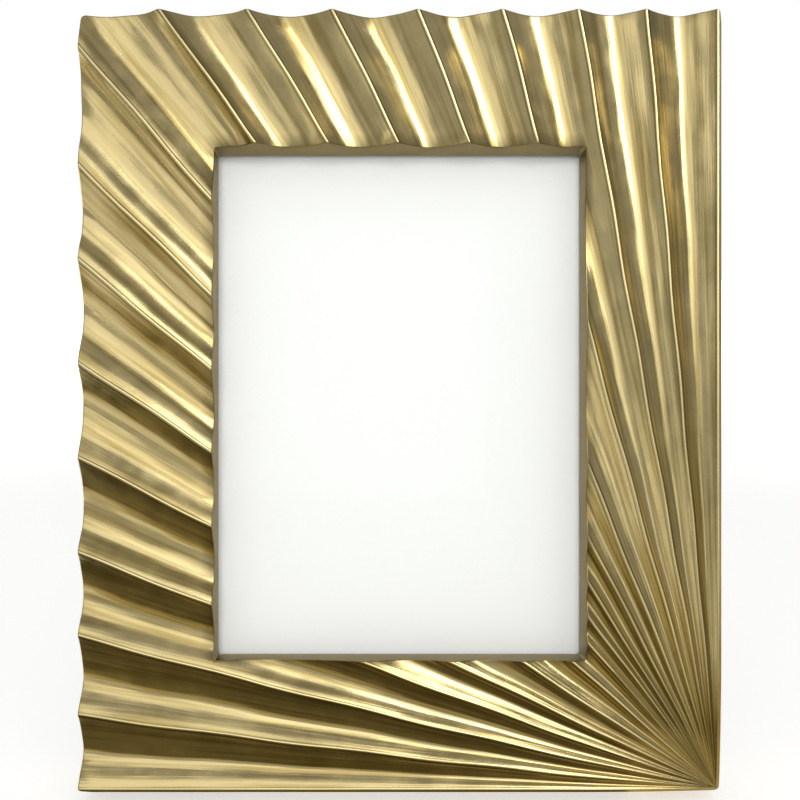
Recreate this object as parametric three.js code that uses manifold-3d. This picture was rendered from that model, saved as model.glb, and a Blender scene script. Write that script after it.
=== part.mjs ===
import * as THREE from 'three';
import { mergeVertices } from 'three/addons/utils/BufferGeometryUtils.js';
import Module from 'manifold-3d';

const wasm = await Module();
wasm.setup();

// Cast frame. All sizes are in millimetres.
const FRAME_WIDTH = 208;
const FRAME_HEIGHT = 253;
const CREST_HEIGHT = 21;
const CORNER_RADIUS = 1.7;
const SIDE_WALL = 3.2;
const WINDOW_WALL = 3;
const SKIN_DROP = 3.6;

// Sunburst relief. The ridges fan out from a point just inside the lower right corner.
// The window interrupts the fan, and there is one ridge less on the side of the point.
const FAN_INSET_SIDE = 1.2;
const FAN_INSET_BOTTOM = 1;
const RIDGE_ANGLES_AT_RIM = [
  0, 5.2, 10.1, 15.4, 21, 26.3, 31.1, 35.6, 40.7, 45.7, 50.4, 56.3, 62.6, 69.5, 76.2, 83.1, 90,
];
const RIDGE_ANGLES_AT_POINT = [
  0, 5.5, 10.8, 16.2, 21.9, 27.2, 32.3, 36.9, 41.7, 48.7, 57, 64.5, 71.3, 78.3, 84.7, 90,
];
const SHARED_FLUTES = 3;
const SWITCH_HALF_BAND = 1;
const FAN_REACH = 250;
const FLUTE_DEPTH_RATIO = 0.263;
const ARCH_SHARE = 0.7;
const BEAD_WIDTH = 1.4;
const BEAD_RISE = 0.5;
const BEAD_SHARE = 0.28;
const POINT_DROP = 2.2;
const POINT_DROP_RADIUS = 45;
const FRONT_RADII = [8, 20, 45, 100];
const HOLLOW_RADII = [20, 100];

// Photo, glazing and what holds them, from the back plane forwards.
const PHOTO_WIDTH = 127;
const PHOTO_HEIGHT = 178;
const SIDE_OVERLAP = 3.5;
const END_OVERLAP = 5.9;
const WINDOW_RADIUS = 1;
const POCKET_CLEARANCE = 0.6;
const POCKET_WALL = 2.2;
const LIP_THICKNESS = 2;
const BACK_RECESS = 0.3;
const GLASS_THICKNESS = 2;
const CARD_THICKNESS = 0.4;
const SPACER_THICKNESS = 1.2;
const BOARD_THICKNESS = 3;
const BOARD_CLEARANCE = 0.4;
const RING_THICKNESS = 3;
const GAP = 0.3;

// Screws that hold the backing ring to bosses inside the casting.
const SCREW_SHANK_RADIUS = 1.2;
const RING_SCREW_LENGTH = 10;
const RING_SCREW_HEAD_RADIUS = 2.8;
const RING_SCREW_HEAD_HEIGHT = 1.6;
const BOSS_RADIUS = 4.5;
const SLOT_WIDTH = 0.7;
const SLOT_DEPTH = 0.6;

// Turn buttons that keep the easel back in its pocket.
const BUTTONS_PER_SIDE = 3;
const BUTTON_SPACING = 60;
const BUTTON_PIVOT_OFFSET = 8;
const BUTTON_REACH = 13;
const BUTTON_THICKNESS = 0.8;
const BUTTON_EYE_RADIUS = 4.5;
const BUTTON_TIP_RADIUS = 3;
const BUTTON_SCREW_HEAD_RADIUS = 2.4;
const BUTTON_SCREW_HEAD_HEIGHT = 1;
const BUTTON_SCREW_LENGTH = 3.9;

// Easel leg, its hinge and its stay ribbon.
const LEAN_DEG = 14;
const LEG_SPREAD_DEG = 15;
const STANDING_STRIP = 3;
const HINGE_ABOVE_MIDDLE = 23.5;
const LEG_THICKNESS = 2.6;
const LEG_TOP_WIDTH = 36;
const LEG_FOOT_WIDTH = 50;
const LEG_CORNER_RADIUS = 7;
const HINGE_WIDTH = 34;
const CENTRE_KNUCKLE = 14.6;
const KNUCKLE_RADIUS = 2;
const LEAF_THICKNESS = 0.8;
const LEAF_LENGTH = 14;
const PIN_RADIUS = 1;
const PIN_HEAD_RADIUS = 1.6;
const PIN_HEAD_LENGTH = 0.6;
const RIVET_RADIUS = 1;
const RIVET_HEAD_RADIUS = 2.2;
const RIVET_HEAD_HEIGHT = 0.8;
const RIVET_BITE = 2;
const RIVET_SPACING = 20;
const RIBBON_WIDTH = 10;
const RIBBON_THICKNESS = 0.5;
const RIBBON_BELOW_HINGE = 85;
const RIBBON_TUCK = 1.4;

// How finely round shapes are cut, how far cutters reach past what they cut, and how close
// two corners must be to count as one.
const ROUND_SEGMENTS = 16;
const CORNER_SEGMENTS = 4;
const DOME_STEPS = 3;
const OVERCUT = 1;
const WELD_DISTANCE = 0.0001;

// Heights above the back plane, built up from the pieces that are stacked there.
const ringFront = BACK_RECESS + RING_THICKNESS;
const spacerBack = BACK_RECESS + BOARD_THICKNESS + GAP;
const cardBack = spacerBack + SPACER_THICKNESS + GAP;
const glassBack = cardBack + CARD_THICKNESS + GAP;
const lipHeight = glassBack + GLASS_THICKNESS + GAP;

const frameMiddle = FRAME_HEIGHT / 2;
const windowWidth = PHOTO_WIDTH - 2 * SIDE_OVERLAP;
const windowHeight = PHOTO_HEIGHT - 2 * END_OVERLAP;
const pocketWidth = PHOTO_WIDTH + 2 * POCKET_CLEARANCE;
const pocketHeight = PHOTO_HEIGHT + 2 * POCKET_CLEARANCE;
const innerWidth = FRAME_WIDTH - 2 * SIDE_WALL;
const innerHeight = FRAME_HEIGHT - 2 * SIDE_WALL;
const clearRadius = SCREW_SHANK_RADIUS + GAP;

const lean = THREE.MathUtils.degToRad(LEAN_DEG);
const spread = THREE.MathUtils.degToRad(LEG_SPREAD_DEG);
const floorLift = STANDING_STRIP * Math.sin(lean);
const hingeBehind = KNUCKLE_RADIUS + GAP - BACK_RECESS;
const hingeUp = frameMiddle + HINGE_ABOVE_MIDDLE;
const hingeHeight = hingeUp * Math.cos(lean) - hingeBehind * Math.sin(lean) - floorLift;

// Gives a closed three.js geometry to the boolean library as a solid.
function toSolid(geometry) {
  const bare = geometry.clone();
  bare.deleteAttribute('normal');
  bare.deleteAttribute('uv');
  const merged = mergeVertices(bare, WELD_DISTANCE);
  const mesh = new wasm.Mesh({
    numProp: 3,
    vertProperties: new Float32Array(merged.attributes.position.array),
    triVerts: new Uint32Array(merged.index.array),
  });
  return new wasm.Manifold(mesh);
}

// Brings a solid back as a flat-shaded three.js geometry.
function toGeometry(solid) {
  const mesh = solid.getMesh();
  const geometry = new THREE.BufferGeometry();
  geometry.setAttribute('position', new THREE.BufferAttribute(mesh.vertProperties, 3));
  geometry.setIndex(new THREE.BufferAttribute(mesh.triVerts, 1));
  const flat = geometry.toNonIndexed();
  flat.computeVertexNormals();
  return flat;
}

// A rectangle with round corners in the plane of the frame, x across and y up.
function roundedRectangle(width, height, radius, upTo = 0) {
  const shape = new THREE.Shape();
  const x = width / 2;
  const y = height / 2;
  shape.absarc(x - radius, upTo + y - radius, radius, 0, Math.PI / 2);
  shape.absarc(-x + radius, upTo + y - radius, radius, Math.PI / 2, Math.PI);
  shape.absarc(-x + radius, upTo - y + radius, radius, Math.PI, 1.5 * Math.PI);
  shape.absarc(x - radius, upTo - y + radius, radius, 1.5 * Math.PI, 2 * Math.PI);
  return shape;
}

// A plate parallel to the back plane, between two heights above it.
function plate(shape, from, to, curveSegments = CORNER_SEGMENTS) {
  const options = { depth: to - from, bevelEnabled: false, curveSegments };
  const geometry = new THREE.ExtrudeGeometry(shape, options);
  geometry.translate(0, 0, from);
  geometry.rotateX(Math.PI / 2);
  return geometry;
}

// A block between two corners.
function block(low, high) {
  const size = high.map((value, axis) => value - low[axis]);
  const geometry = new THREE.BoxGeometry(...size);
  geometry.translate(...low.map((value, axis) => value + size[axis] / 2));
  return geometry;
}

// A turned piece on the y axis. The profile lists radius and height above the back plane,
// from the foremost end to the rearmost, so that the faces point outwards.
function turned(profile) {
  const points = profile.map(([radius, height]) => new THREE.Vector2(radius, -height));
  return new THREE.LatheGeometry(points, ROUND_SEGMENTS);
}

// Half of the space, below the floor, seen from a group that is turned about the x axis.
function belowFloor(heightAboveFloor, turn) {
  const reach = 2 * FRAME_HEIGHT;
  const geometry = block([-reach, -reach, -reach], [reach, reach, 0]);
  geometry.translate(0, 0, -heightAboveFloor);
  geometry.rotateX(-turn);
  return toSolid(geometry);
}

// Height of the ridge crests at a distance from the point of the fan.
function crestHeight(distance) {
  const share = Math.max(0, 1 - distance / POINT_DROP_RADIUS);
  return CREST_HEIGHT - POINT_DROP * share * share;
}

// Angle of a ridge at a distance from the point of the fan, in radians.
function ridgeAngle(atRim, atPoint, distance) {
  const share = Math.max(0, 1 - distance / FAN_REACH);
  return THREE.MathUtils.degToRad(atRim + (atPoint - atRim) * share);
}

// The ridge angles at a distance from the point, and how finely each flute is cut. Past the
// switch radius the fan has the ridges of the rim, and before it those of the point's side.
// Both have as many cuts in all, so that one grid of points covers the whole front.
function ridgesAt(distance, switchRadius) {
  const rimFlutes = RIDGE_ANGLES_AT_RIM.length - 1;
  const pointFlutes = RIDGE_ANGLES_AT_POINT.length - 1;
  const beyond = distance > switchRadius;
  const count = beyond ? rimFlutes : pointFlutes;
  const angles = [];
  for (let i = 0; i <= count; i++) {
    const fromEnd = count - i;
    let atRim = beyond ? RIDGE_ANGLES_AT_RIM[i] : RIDGE_ANGLES_AT_POINT[i];
    let atPoint = atRim;
    if (i <= SHARED_FLUTES) {
      [atRim, atPoint] = sharedRidge(i);
    } else if (fromEnd <= SHARED_FLUTES) {
      [atRim, atPoint] = sharedRidge(-fromEnd - 1);
    }
    angles.push(ridgeAngle(atRim, atPoint, distance));
  }
  const rimMiddle = rimFlutes - 2 * SHARED_FLUTES;
  const pointMiddle = pointFlutes - 2 * SHARED_FLUTES;
  const cuts = [];
  for (let i = 0; i < count; i++) {
    const shared = i < SHARED_FLUTES || i >= count - SHARED_FLUTES;
    cuts.push(shared || !beyond ? rimMiddle : pointMiddle);
  }
  return { angles, cuts };
}

// The rim and point angles of a ridge that runs past the window. A negative index counts
// from the last ridge.
function sharedRidge(index) {
  return [RIDGE_ANGLES_AT_RIM.at(index), RIDGE_ANGLES_AT_POINT.at(index)];
}

// One arc of relief points around the point of the fan: angle and height at each cut. A flute
// lies between an arch and a wave in section, so its flanks are about evenly steep.
function reliefRow(distance, switchRadius, drop) {
  const { angles, cuts } = ridgesAt(distance, switchRadius);
  const crest = crestHeight(distance) - drop;
  const row = [];
  for (let flute = 0; flute < cuts.length; flute++) {
    const width = (angles[flute + 1] - angles[flute]) * distance;
    const bead = Math.min(BEAD_WIDTH, BEAD_SHARE * width);
    const beadShare = bead / 2 / width;
    const inner = cuts[flute] - 2;
    row.push({ angle: angles[flute], height: crest + (BEAD_RISE * bead) / BEAD_WIDTH });
    for (let cut = 0; cut <= inner; cut++) {
      const across = cut / inner;
      const arch = 1 - (2 * across - 1) ** 2;
      const wave = (1 - Math.cos(2 * Math.PI * across)) / 2;
      const hollow = ARCH_SHARE * arch + (1 - ARCH_SHARE) * wave;
      const share = beadShare + across * (1 - 2 * beadShare);
      const angle = angles[flute] + share * (angles[flute + 1] - angles[flute]);
      row.push({ angle, height: crest - FLUTE_DEPTH_RATIO * width * hollow });
    }
  }
  row.push({ angle: angles[angles.length - 1], height: row[0].height });
  return row;
}

// Distance from the point at which the fan changes from one set of ridges to the other.
// It lies behind the window for every ridge that the window interrupts.
function switchDistance(pointX) {
  const firstCut = ridgeAngle(...sharedRidge(SHARED_FLUTES), 0);
  const lastCut = ridgeAngle(...sharedRidge(-SHARED_FLUTES - 1), 0);
  const nearSide = (pointX - windowWidth / 2) / Math.sin(firstCut);
  const farSide = (pointX + windowWidth / 2) / Math.sin(lastCut);
  return (nearSide + farSide) / 2;
}

// Solid under the fluted front, reaching past the frame on all sides and behind its back.
// The drop lowers it, and the radii say where its arcs of points lie before the switch.
function reliefSolid(drop, nearRadii) {
  const pointX = FRAME_WIDTH / 2 - FAN_INSET_SIDE;
  const pointZ = FAN_INSET_BOTTOM;
  const switchRadius = switchDistance(pointX);
  const reach = Math.hypot(FRAME_WIDTH, FRAME_HEIGHT) + OVERCUT;
  const switchBand = [switchRadius - SWITCH_HALF_BAND, switchRadius + SWITCH_HALF_BAND];
  const radii = [...nearRadii, ...switchBand, FAN_REACH, reach];
  const rows = radii.map((radius) => reliefRow(radius, switchRadius, drop));
  const columns = rows[0].length;
  const outside = 2 * (FAN_INSET_SIDE + FAN_INSET_BOTTOM);
  const pointHeight = crestHeight(0) - drop;

  const top = [[pointX, pointZ, pointHeight]];
  const add = (x, z, height) => top.push([x, z, height]) - 1;
  const grid = rows.map((row, i) => row.map(({ angle, height }) => (
    add(pointX - radii[i] * Math.sin(angle), pointZ + radii[i] * Math.cos(angle), height)
  )));
  const edgeHeights = [pointHeight, ...rows.map((row) => row[0].height)];
  const along = [0, ...radii];
  const rightEdge = along.map((far, i) => add(pointX + outside, pointZ + far, edgeHeights[i]));
  const bottomEdge = along.map((far, i) => add(pointX - far, pointZ - outside, edgeHeights[i]));
  const corner = add(pointX + outside, pointZ - outside, pointHeight);

  const faces = [];
  const quad = (a, b, c, d) => faces.push([a, b, c], [a, c, d]);
  for (let j = 0; j + 1 < columns; j++) {
    faces.push([0, grid[0][j], grid[0][j + 1]]);
    for (let i = 0; i + 1 < grid.length; i++) {
      quad(grid[i][j], grid[i + 1][j], grid[i + 1][j + 1], grid[i][j + 1]);
    }
  }
  const firstColumn = [0, ...grid.map((row) => row[0])];
  const lastColumn = [0, ...grid.map((row) => row[columns - 1])];
  for (let i = 0; i < radii.length; i++) {
    quad(rightEdge[i], rightEdge[i + 1], firstColumn[i + 1], firstColumn[i]);
    quad(lastColumn[i], lastColumn[i + 1], bottomEdge[i + 1], bottomEdge[i]);
  }
  quad(0, bottomEdge[0], corner, rightEdge[0]);

  const lastRow = grid[grid.length - 1];
  const loop = [corner, ...rightEdge, ...lastRow, ...bottomEdge.slice().reverse()];
  return toSolid(closeBelow(top, faces, loop));
}

// Closes a height field with walls and a flat floor just behind the back plane.
function closeBelow(top, faces, loop) {
  const count = top.length;
  const positions = [];
  top.forEach(([x, z, height]) => positions.push(x, -height, z));
  top.forEach(([x, z]) => positions.push(x, OVERCUT, z));
  const index = [];
  faces.forEach(([a, b, c]) => index.push(a, b, c, count + a, count + c, count + b));
  loop.forEach((a, i) => {
    const b = loop[(i + 1) % loop.length];
    index.push(a, count + b, b, a, count + a, count + b);
  });
  const geometry = new THREE.BufferGeometry();
  geometry.setAttribute('position', new THREE.Float32BufferAttribute(positions, 3));
  geometry.setIndex(index);
  return geometry;
}

// Places of the ring screws: the four corners and the middles of the top and bottom.
function ringScrewPlaces() {
  const x = (pocketWidth + innerWidth) / 4;
  const z = (pocketHeight + innerHeight) / 4;
  const places = [];
  for (const side of [-1, 0, 1]) {
    places.push([side * x, frameMiddle - z], [side * x, frameMiddle + z]);
  }
  return places;
}

// Profile of a countersunk screw up to the rim of its head, made larger by the extra given.
function countersunkProfile(extra) {
  const shank = SCREW_SHANK_RADIUS + extra;
  const head = RING_SCREW_HEAD_RADIUS + extra;
  const tip = BACK_RECESS + RING_SCREW_LENGTH + extra;
  const seat = BACK_RECESS + RING_SCREW_HEAD_HEIGHT;
  return [[0, tip], [shank, tip - shank / 2], [shank, seat], [head, BACK_RECESS]];
}

// The hole that clears a ring screw, open to the back.
function ringScrewHole() {
  const rim = RING_SCREW_HEAD_RADIUS + GAP;
  return turned([...countersunkProfile(GAP), [rim, -OVERCUT], [0, -OVERCUT]]);
}

function ringScrew() {
  const screw = turned([...countersunkProfile(0), [0, BACK_RECESS]]);
  const slot = block(
    [-RING_SCREW_HEAD_RADIUS, -BACK_RECESS - SLOT_DEPTH, -SLOT_WIDTH / 2],
    [RING_SCREW_HEAD_RADIUS, OVERCUT, SLOT_WIDTH / 2],
  );
  return toGeometry(toSolid(screw).subtract(toSolid(slot)));
}

// The casting: a fluted skin with side walls, a window wall, a lip and screw bosses.
function frameCasting() {
  const aboveAll = CREST_HEIGHT + OVERCUT;
  const outline = roundedRectangle(FRAME_WIDTH, FRAME_HEIGHT, CORNER_RADIUS, frameMiddle);
  const inside = roundedRectangle(innerWidth, innerHeight, CORNER_RADIUS, frameMiddle);
  const wallWidth = windowWidth + 2 * WINDOW_WALL;
  const wallHeight = windowHeight + 2 * WINDOW_WALL;
  const windowTube = roundedRectangle(wallWidth, wallHeight, WINDOW_RADIUS + WINDOW_WALL, frameMiddle);
  const full = toSolid(plate(outline, 0, aboveAll)).intersect(reliefSolid(0, FRONT_RADII));
  const hollow = toSolid(plate(inside, -OVERCUT, aboveAll))
    .intersect(reliefSolid(SKIN_DROP, HOLLOW_RADII))
    .subtract(toSolid(plate(windowTube, -OVERCUT, aboveAll)));

  const seatWidth = pocketWidth + 2 * POCKET_WALL;
  const seatHeight = pocketHeight + 2 * POCKET_WALL;
  const seat = roundedRectangle(seatWidth, seatHeight, WINDOW_RADIUS, frameMiddle);
  const halfSkin = reliefSolid(SKIN_DROP / 2, HOLLOW_RADII);
  let body = full.subtract(hollow);
  body = body.add(toSolid(plate(seat, ringFront + GAP, lipHeight + LIP_THICKNESS)).intersect(full));
  for (const [x, z] of ringScrewPlaces()) {
    const foot = ringFront + GAP;
    const boss = turned([[0, aboveAll], [BOSS_RADIUS, aboveAll], [BOSS_RADIUS, foot], [0, foot]]);
    body = body.add(toSolid(boss.translate(x, 0, z)).intersect(halfSkin));
  }
  const pocket = roundedRectangle(pocketWidth, pocketHeight, WINDOW_RADIUS, frameMiddle);
  const opening = roundedRectangle(windowWidth, windowHeight, WINDOW_RADIUS, frameMiddle);
  body = body.subtract(toSolid(plate(pocket, -OVERCUT, lipHeight)));
  body = body.subtract(toSolid(plate(opening, -OVERCUT, aboveAll)));
  for (const [x, z] of ringScrewPlaces()) {
    body = body.subtract(toSolid(ringScrewHole().translate(x, 0, z)));
  }
  return toGeometry(body.subtract(belowFloor(-floorLift, -lean)));
}

// Places of the turn buttons: which side they are on, and how far up the frame.
function buttonPlaces() {
  const places = [];
  for (const side of [-1, 1]) {
    for (let i = 0; i < BUTTONS_PER_SIDE; i++) {
      const up = frameMiddle + (i - (BUTTONS_PER_SIDE - 1) / 2) * BUTTON_SPACING;
      places.push({ side, x: side * (pocketWidth / 2 + BUTTON_PIVOT_OFFSET), z: up });
    }
  }
  return places;
}

// The velvet-covered ring that closes the hollow back around the pocket.
function backingRing() {
  const width = innerWidth - 2 * GAP;
  const height = innerHeight - 2 * GAP;
  const shape = roundedRectangle(width, height, CORNER_RADIUS - GAP, frameMiddle);
  const middle = roundedRectangle(pocketWidth, pocketHeight, WINDOW_RADIUS, frameMiddle);
  let ring = toSolid(plate(shape, BACK_RECESS, ringFront))
    .subtract(toSolid(plate(middle, -OVERCUT, ringFront + OVERCUT)));
  for (const [x, z] of ringScrewPlaces()) {
    ring = ring.subtract(toSolid(ringScrewHole().translate(x, 0, z)));
  }
  for (const { x, z } of buttonPlaces()) {
    const hole = drill(clearRadius, ringFront + OVERCUT, -OVERCUT);
    ring = ring.subtract(toSolid(hole.translate(x, 0, z)));
  }
  return toGeometry(ring);
}

// A round cutter along the y axis, between two heights above the back plane.
function drill(radius, front, back) {
  return turned([[0, front], [radius, front], [radius, back], [0, back]]);
}

// One flat sheet of the photo pack, cut to the photo's size.
function photoSheet(back, thickness) {
  const shape = roundedRectangle(PHOTO_WIDTH, PHOTO_HEIGHT, WINDOW_RADIUS / 2, frameMiddle);
  return plate(shape, back, back + thickness);
}

// The board behind the photo, with holes for the hinge rivets and a slot for the ribbon.
function easelBackBoard() {
  const width = pocketWidth - 2 * BOARD_CLEARANCE;
  const height = pocketHeight - 2 * BOARD_CLEARANCE;
  const shape = roundedRectangle(width, height, WINDOW_RADIUS, frameMiddle);
  let board = toSolid(plate(shape, BACK_RECESS, BACK_RECESS + BOARD_THICKNESS));
  const holeFront = BACK_RECESS + RIVET_BITE + GAP;
  for (const x of rivetPlaces()) {
    const hole = drill(RIVET_RADIUS + GAP, holeFront, -OVERCUT);
    board = board.subtract(toSolid(hole.translate(x, 0, hingeUp + LEAF_LENGTH / 2)));
  }
  const slot = ribbonSlot(-BACK_RECESS - RIBBON_TUCK - GAP, OVERCUT);
  slot.translate(0, 0, hingeUp - RIBBON_BELOW_HINGE);
  return toGeometry(board.subtract(toSolid(slot)));
}

function rivetPlaces() {
  return [-RIVET_SPACING / 2, RIVET_SPACING / 2];
}

// A slot across the x axis that the ribbon's end is glued into.
function ribbonSlot(fromY, toY) {
  const halfWidth = RIBBON_WIDTH / 2 + GAP;
  const halfHeight = RIBBON_THICKNESS / 2 + GAP;
  return block([-halfWidth, fromY, -halfHeight], [halfWidth, toY, halfHeight]);
}

// A flat turn button around its own pivot, with its tip along +x.
function turnButton() {
  const shape = new THREE.Shape();
  const tip = BUTTON_REACH - BUTTON_TIP_RADIUS;
  shape.absarc(0, 0, BUTTON_EYE_RADIUS, Math.PI / 2, 1.5 * Math.PI);
  shape.absarc(tip, 0, BUTTON_TIP_RADIUS, -Math.PI / 2, Math.PI / 2);
  const hole = new THREE.Path();
  hole.absarc(0, 0, clearRadius, 0, 2 * Math.PI, true);
  shape.holes.push(hole);
  const front = BACK_RECESS - GAP;
  return plate(shape, front - BUTTON_THICKNESS, front, ROUND_SEGMENTS / 2);
}

// Profile of a domed head, from the rim of its seat to its rearmost point.
function domedHead(radius, seat, height) {
  const profile = [];
  for (let i = 0; i <= DOME_STEPS; i++) {
    const turn = (i / DOME_STEPS) * (Math.PI / 2);
    profile.push([i < DOME_STEPS ? radius * Math.cos(turn) : 0, seat - height * Math.sin(turn)]);
  }
  return profile;
}

// A slotted round-head screw around its own axis, holding a turn button.
function buttonScrew() {
  const seat = BACK_RECESS - 2 * GAP - BUTTON_THICKNESS;
  const tip = seat + BUTTON_SCREW_LENGTH;
  const radius = BUTTON_SCREW_HEAD_RADIUS;
  const rear = BUTTON_SCREW_HEAD_HEIGHT - seat;
  const screw = turned([
    [0, tip], [SCREW_SHANK_RADIUS, tip - SCREW_SHANK_RADIUS / 2], [SCREW_SHANK_RADIUS, seat],
    ...domedHead(radius, seat, BUTTON_SCREW_HEAD_HEIGHT),
  ]);
  const slot = block(
    [-radius, rear - SLOT_DEPTH, -SLOT_WIDTH / 2],
    [radius, rear + OVERCUT, SLOT_WIDTH / 2],
  );
  return toGeometry(toSolid(screw).subtract(toSolid(slot)));
}

// A barrel along the x axis between two places on the hinge pin.
function barrel(radius, from, to) {
  const geometry = new THREE.CylinderGeometry(radius, radius, to - from, ROUND_SEGMENTS);
  geometry.rotateZ(Math.PI / 2);
  geometry.translate((from + to) / 2, 0, 0);
  return toSolid(geometry);
}

// A hinge leaf around the pin. The board's leaf lies in front of the pin and goes up,
// and has the outer knuckles. The leg's leaf lies behind it, goes down, and has the centre one.
function hingeLeaf(onBoard) {
  const half = HINGE_WIDTH / 2;
  const centre = CENTRE_KNUCKLE / 2;
  const far = half + OVERCUT;
  const clear = KNUCKLE_RADIUS + GAP;
  const y = onBoard ? -KNUCKLE_RADIUS : KNUCKLE_RADIUS - LEAF_THICKNESS;
  const z = onBoard ? 0 : -LEAF_LENGTH;
  let leaf = toSolid(block([-half, y, z], [half, y + LEAF_THICKNESS, z + LEAF_LENGTH]));
  const cut = (low, high) => {
    leaf = leaf.subtract(toSolid(block(low, high)));
  };
  if (onBoard) {
    cut([-centre - GAP / 2, -clear, -clear], [centre + GAP / 2, clear, clear]);
    leaf = leaf.add(barrel(KNUCKLE_RADIUS, -half, -centre - GAP / 2));
    leaf = leaf.add(barrel(KNUCKLE_RADIUS, centre + GAP / 2, half));
  } else {
    cut([-far, -clear, -clear], [-centre + GAP / 2, clear, clear]);
    cut([centre - GAP / 2, -clear, -clear], [far, clear, clear]);
    leaf = leaf.add(barrel(KNUCKLE_RADIUS, -centre + GAP / 2, centre - GAP / 2));
  }
  leaf = leaf.subtract(barrel(PIN_RADIUS + GAP, -far, far));
  for (const x of rivetPlaces()) {
    const hole = drill(RIVET_RADIUS + GAP, clear, -clear);
    leaf = leaf.subtract(toSolid(hole.translate(x, 0, z + LEAF_LENGTH / 2)));
  }
  return toGeometry(leaf);
}

// The hinge pin, with a flattened head past each outer knuckle.
function hingePin() {
  const inner = HINGE_WIDTH / 2 + GAP;
  const outer = inner + PIN_HEAD_LENGTH;
  const profile = [
    [0, outer], [PIN_HEAD_RADIUS, outer], [PIN_HEAD_RADIUS, inner], [PIN_RADIUS, inner],
    [PIN_RADIUS, -inner], [PIN_HEAD_RADIUS, -inner], [PIN_HEAD_RADIUS, -outer], [0, -outer],
  ];
  return turned(profile).rotateZ(Math.PI / 2);
}

// A rivet on the y axis. Its head lies behind the leaf and its shank goes forwards.
function rivet(leafBack) {
  const seat = leafBack - GAP;
  const tip = leafBack + LEAF_THICKNESS + GAP + RIVET_BITE;
  return turned([
    [0, tip], [RIVET_RADIUS, tip], [RIVET_RADIUS, seat],
    ...domedHead(RIVET_HEAD_RADIUS, seat, RIVET_HEAD_HEIGHT),
  ]);
}

// The easel leg around the hinge pin, hanging down, with its foot cut flat to the floor.
function easelLeg() {
  const front = KNUCKLE_RADIUS - LEAF_THICKNESS - GAP - LEG_THICKNESS;
  const rear = front + LEG_THICKNESS;
  const top = -KNUCKLE_RADIUS - 2 * GAP;
  const foot = -(hingeHeight + rear * Math.sin(spread)) / Math.cos(spread);
  const topHalf = LEG_TOP_WIDTH / 2;
  const footHalf = LEG_FOOT_WIDTH / 2;
  const shape = new THREE.Shape();
  shape.moveTo(topHalf, top);
  shape.lineTo(-topHalf, top);
  const radius = LEG_CORNER_RADIUS;
  shape.absarc(radius - footHalf, foot + radius, radius, Math.PI, 1.5 * Math.PI);
  shape.absarc(footHalf - radius, foot + radius, radius, -Math.PI / 2, 0);
  const back = -rear;
  let leg = toSolid(plate(shape, back, -front));
  for (const x of rivetPlaces()) {
    const hole = drill(RIVET_RADIUS + GAP, back + RIVET_BITE + GAP, back - OVERCUT);
    leg = leg.subtract(toSolid(hole.translate(x, 0, -LEAF_LENGTH / 2)));
  }
  const slot = ribbonSlot(front - OVERCUT, front + RIBBON_TUCK + GAP);
  leg = leg.subtract(toSolid(slot.translate(0, 0, -RIBBON_BELOW_HINGE)));
  return toGeometry(leg.subtract(belowFloor(hingeHeight, spread)));
}

// The stay ribbon, from its slot in the board to its slot in the opened leg.
function stayRibbon() {
  const legFront = KNUCKLE_RADIUS - LEAF_THICKNESS - GAP - LEG_THICKNESS;
  const turn = lean + spread;
  const onLeg = (y) => [
    hingeBehind + y * Math.cos(turn) + RIBBON_BELOW_HINGE * Math.sin(turn),
    hingeUp + y * Math.sin(turn) - RIBBON_BELOW_HINGE * Math.cos(turn),
  ];
  const boardEnd = hingeUp - RIBBON_BELOW_HINGE;
  const path = [
    [-BACK_RECESS - RIBBON_TUCK, boardEnd], [-BACK_RECESS, boardEnd],
    onLeg(legFront), onLeg(legFront + RIBBON_TUCK),
  ];
  const shape = new THREE.Shape(stripOutline(path, RIBBON_THICKNESS));
  const geometry = new THREE.ExtrudeGeometry(shape, { depth: RIBBON_WIDTH, bevelEnabled: false });
  geometry.translate(0, 0, -RIBBON_WIDTH / 2);
  geometry.applyMatrix4(new THREE.Matrix4().makeBasis(
    new THREE.Vector3(0, 1, 0), new THREE.Vector3(0, 0, 1), new THREE.Vector3(1, 0, 0),
  ));
  return geometry;
}

// The outline of a thin strip that follows a path, mitred at its bends.
function stripOutline(path, thickness) {
  const points = path.map(([x, y]) => new THREE.Vector2(x, y));
  const sides = points.map((point, i) => {
    const before = points[Math.max(i - 1, 0)].clone();
    const after = points[Math.min(i + 1, points.length - 1)].clone();
    const into = i > 0 ? point.clone().sub(before).normalize() : after.clone().sub(point).normalize();
    const out = i + 1 < points.length ? after.sub(point).normalize() : into.clone();
    const along = into.clone().add(out).normalize();
    const half = thickness / 2 / along.dot(into);
    return new THREE.Vector2(-along.y * half, along.x * half);
  });
  const left = points.map((point, i) => point.clone().add(sides[i]));
  const right = points.map((point, i) => point.clone().sub(sides[i]));
  return [...right, ...left.reverse()];
}

const FINISHES = {
  brass: { color: 0xd8c487, roughness: 0.28, metalness: 1 },
  velvet: { color: 0x17161a, roughness: 0.95, metalness: 0 },
  glass: { color: 0xe8f1ee, roughness: 0.05, metalness: 0 },
  card: { color: 0xffffff, roughness: 0.7, metalness: 0 },
  greyboard: { color: 0x9a9287, roughness: 0.9, metalness: 0 },
  plated: { color: 0xc9a552, roughness: 0.3, metalness: 1 },
  ribbon: { color: 0x1c1b20, roughness: 0.55, metalness: 0 },
};

// Adds a named mesh with its own material to a group.
function addPiece(group, name, geometry, finish) {
  const mesh = new THREE.Mesh(geometry, new THREE.MeshStandardMaterial(FINISHES[finish]));
  mesh.name = name;
  group.add(mesh);
  return mesh;
}

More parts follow.
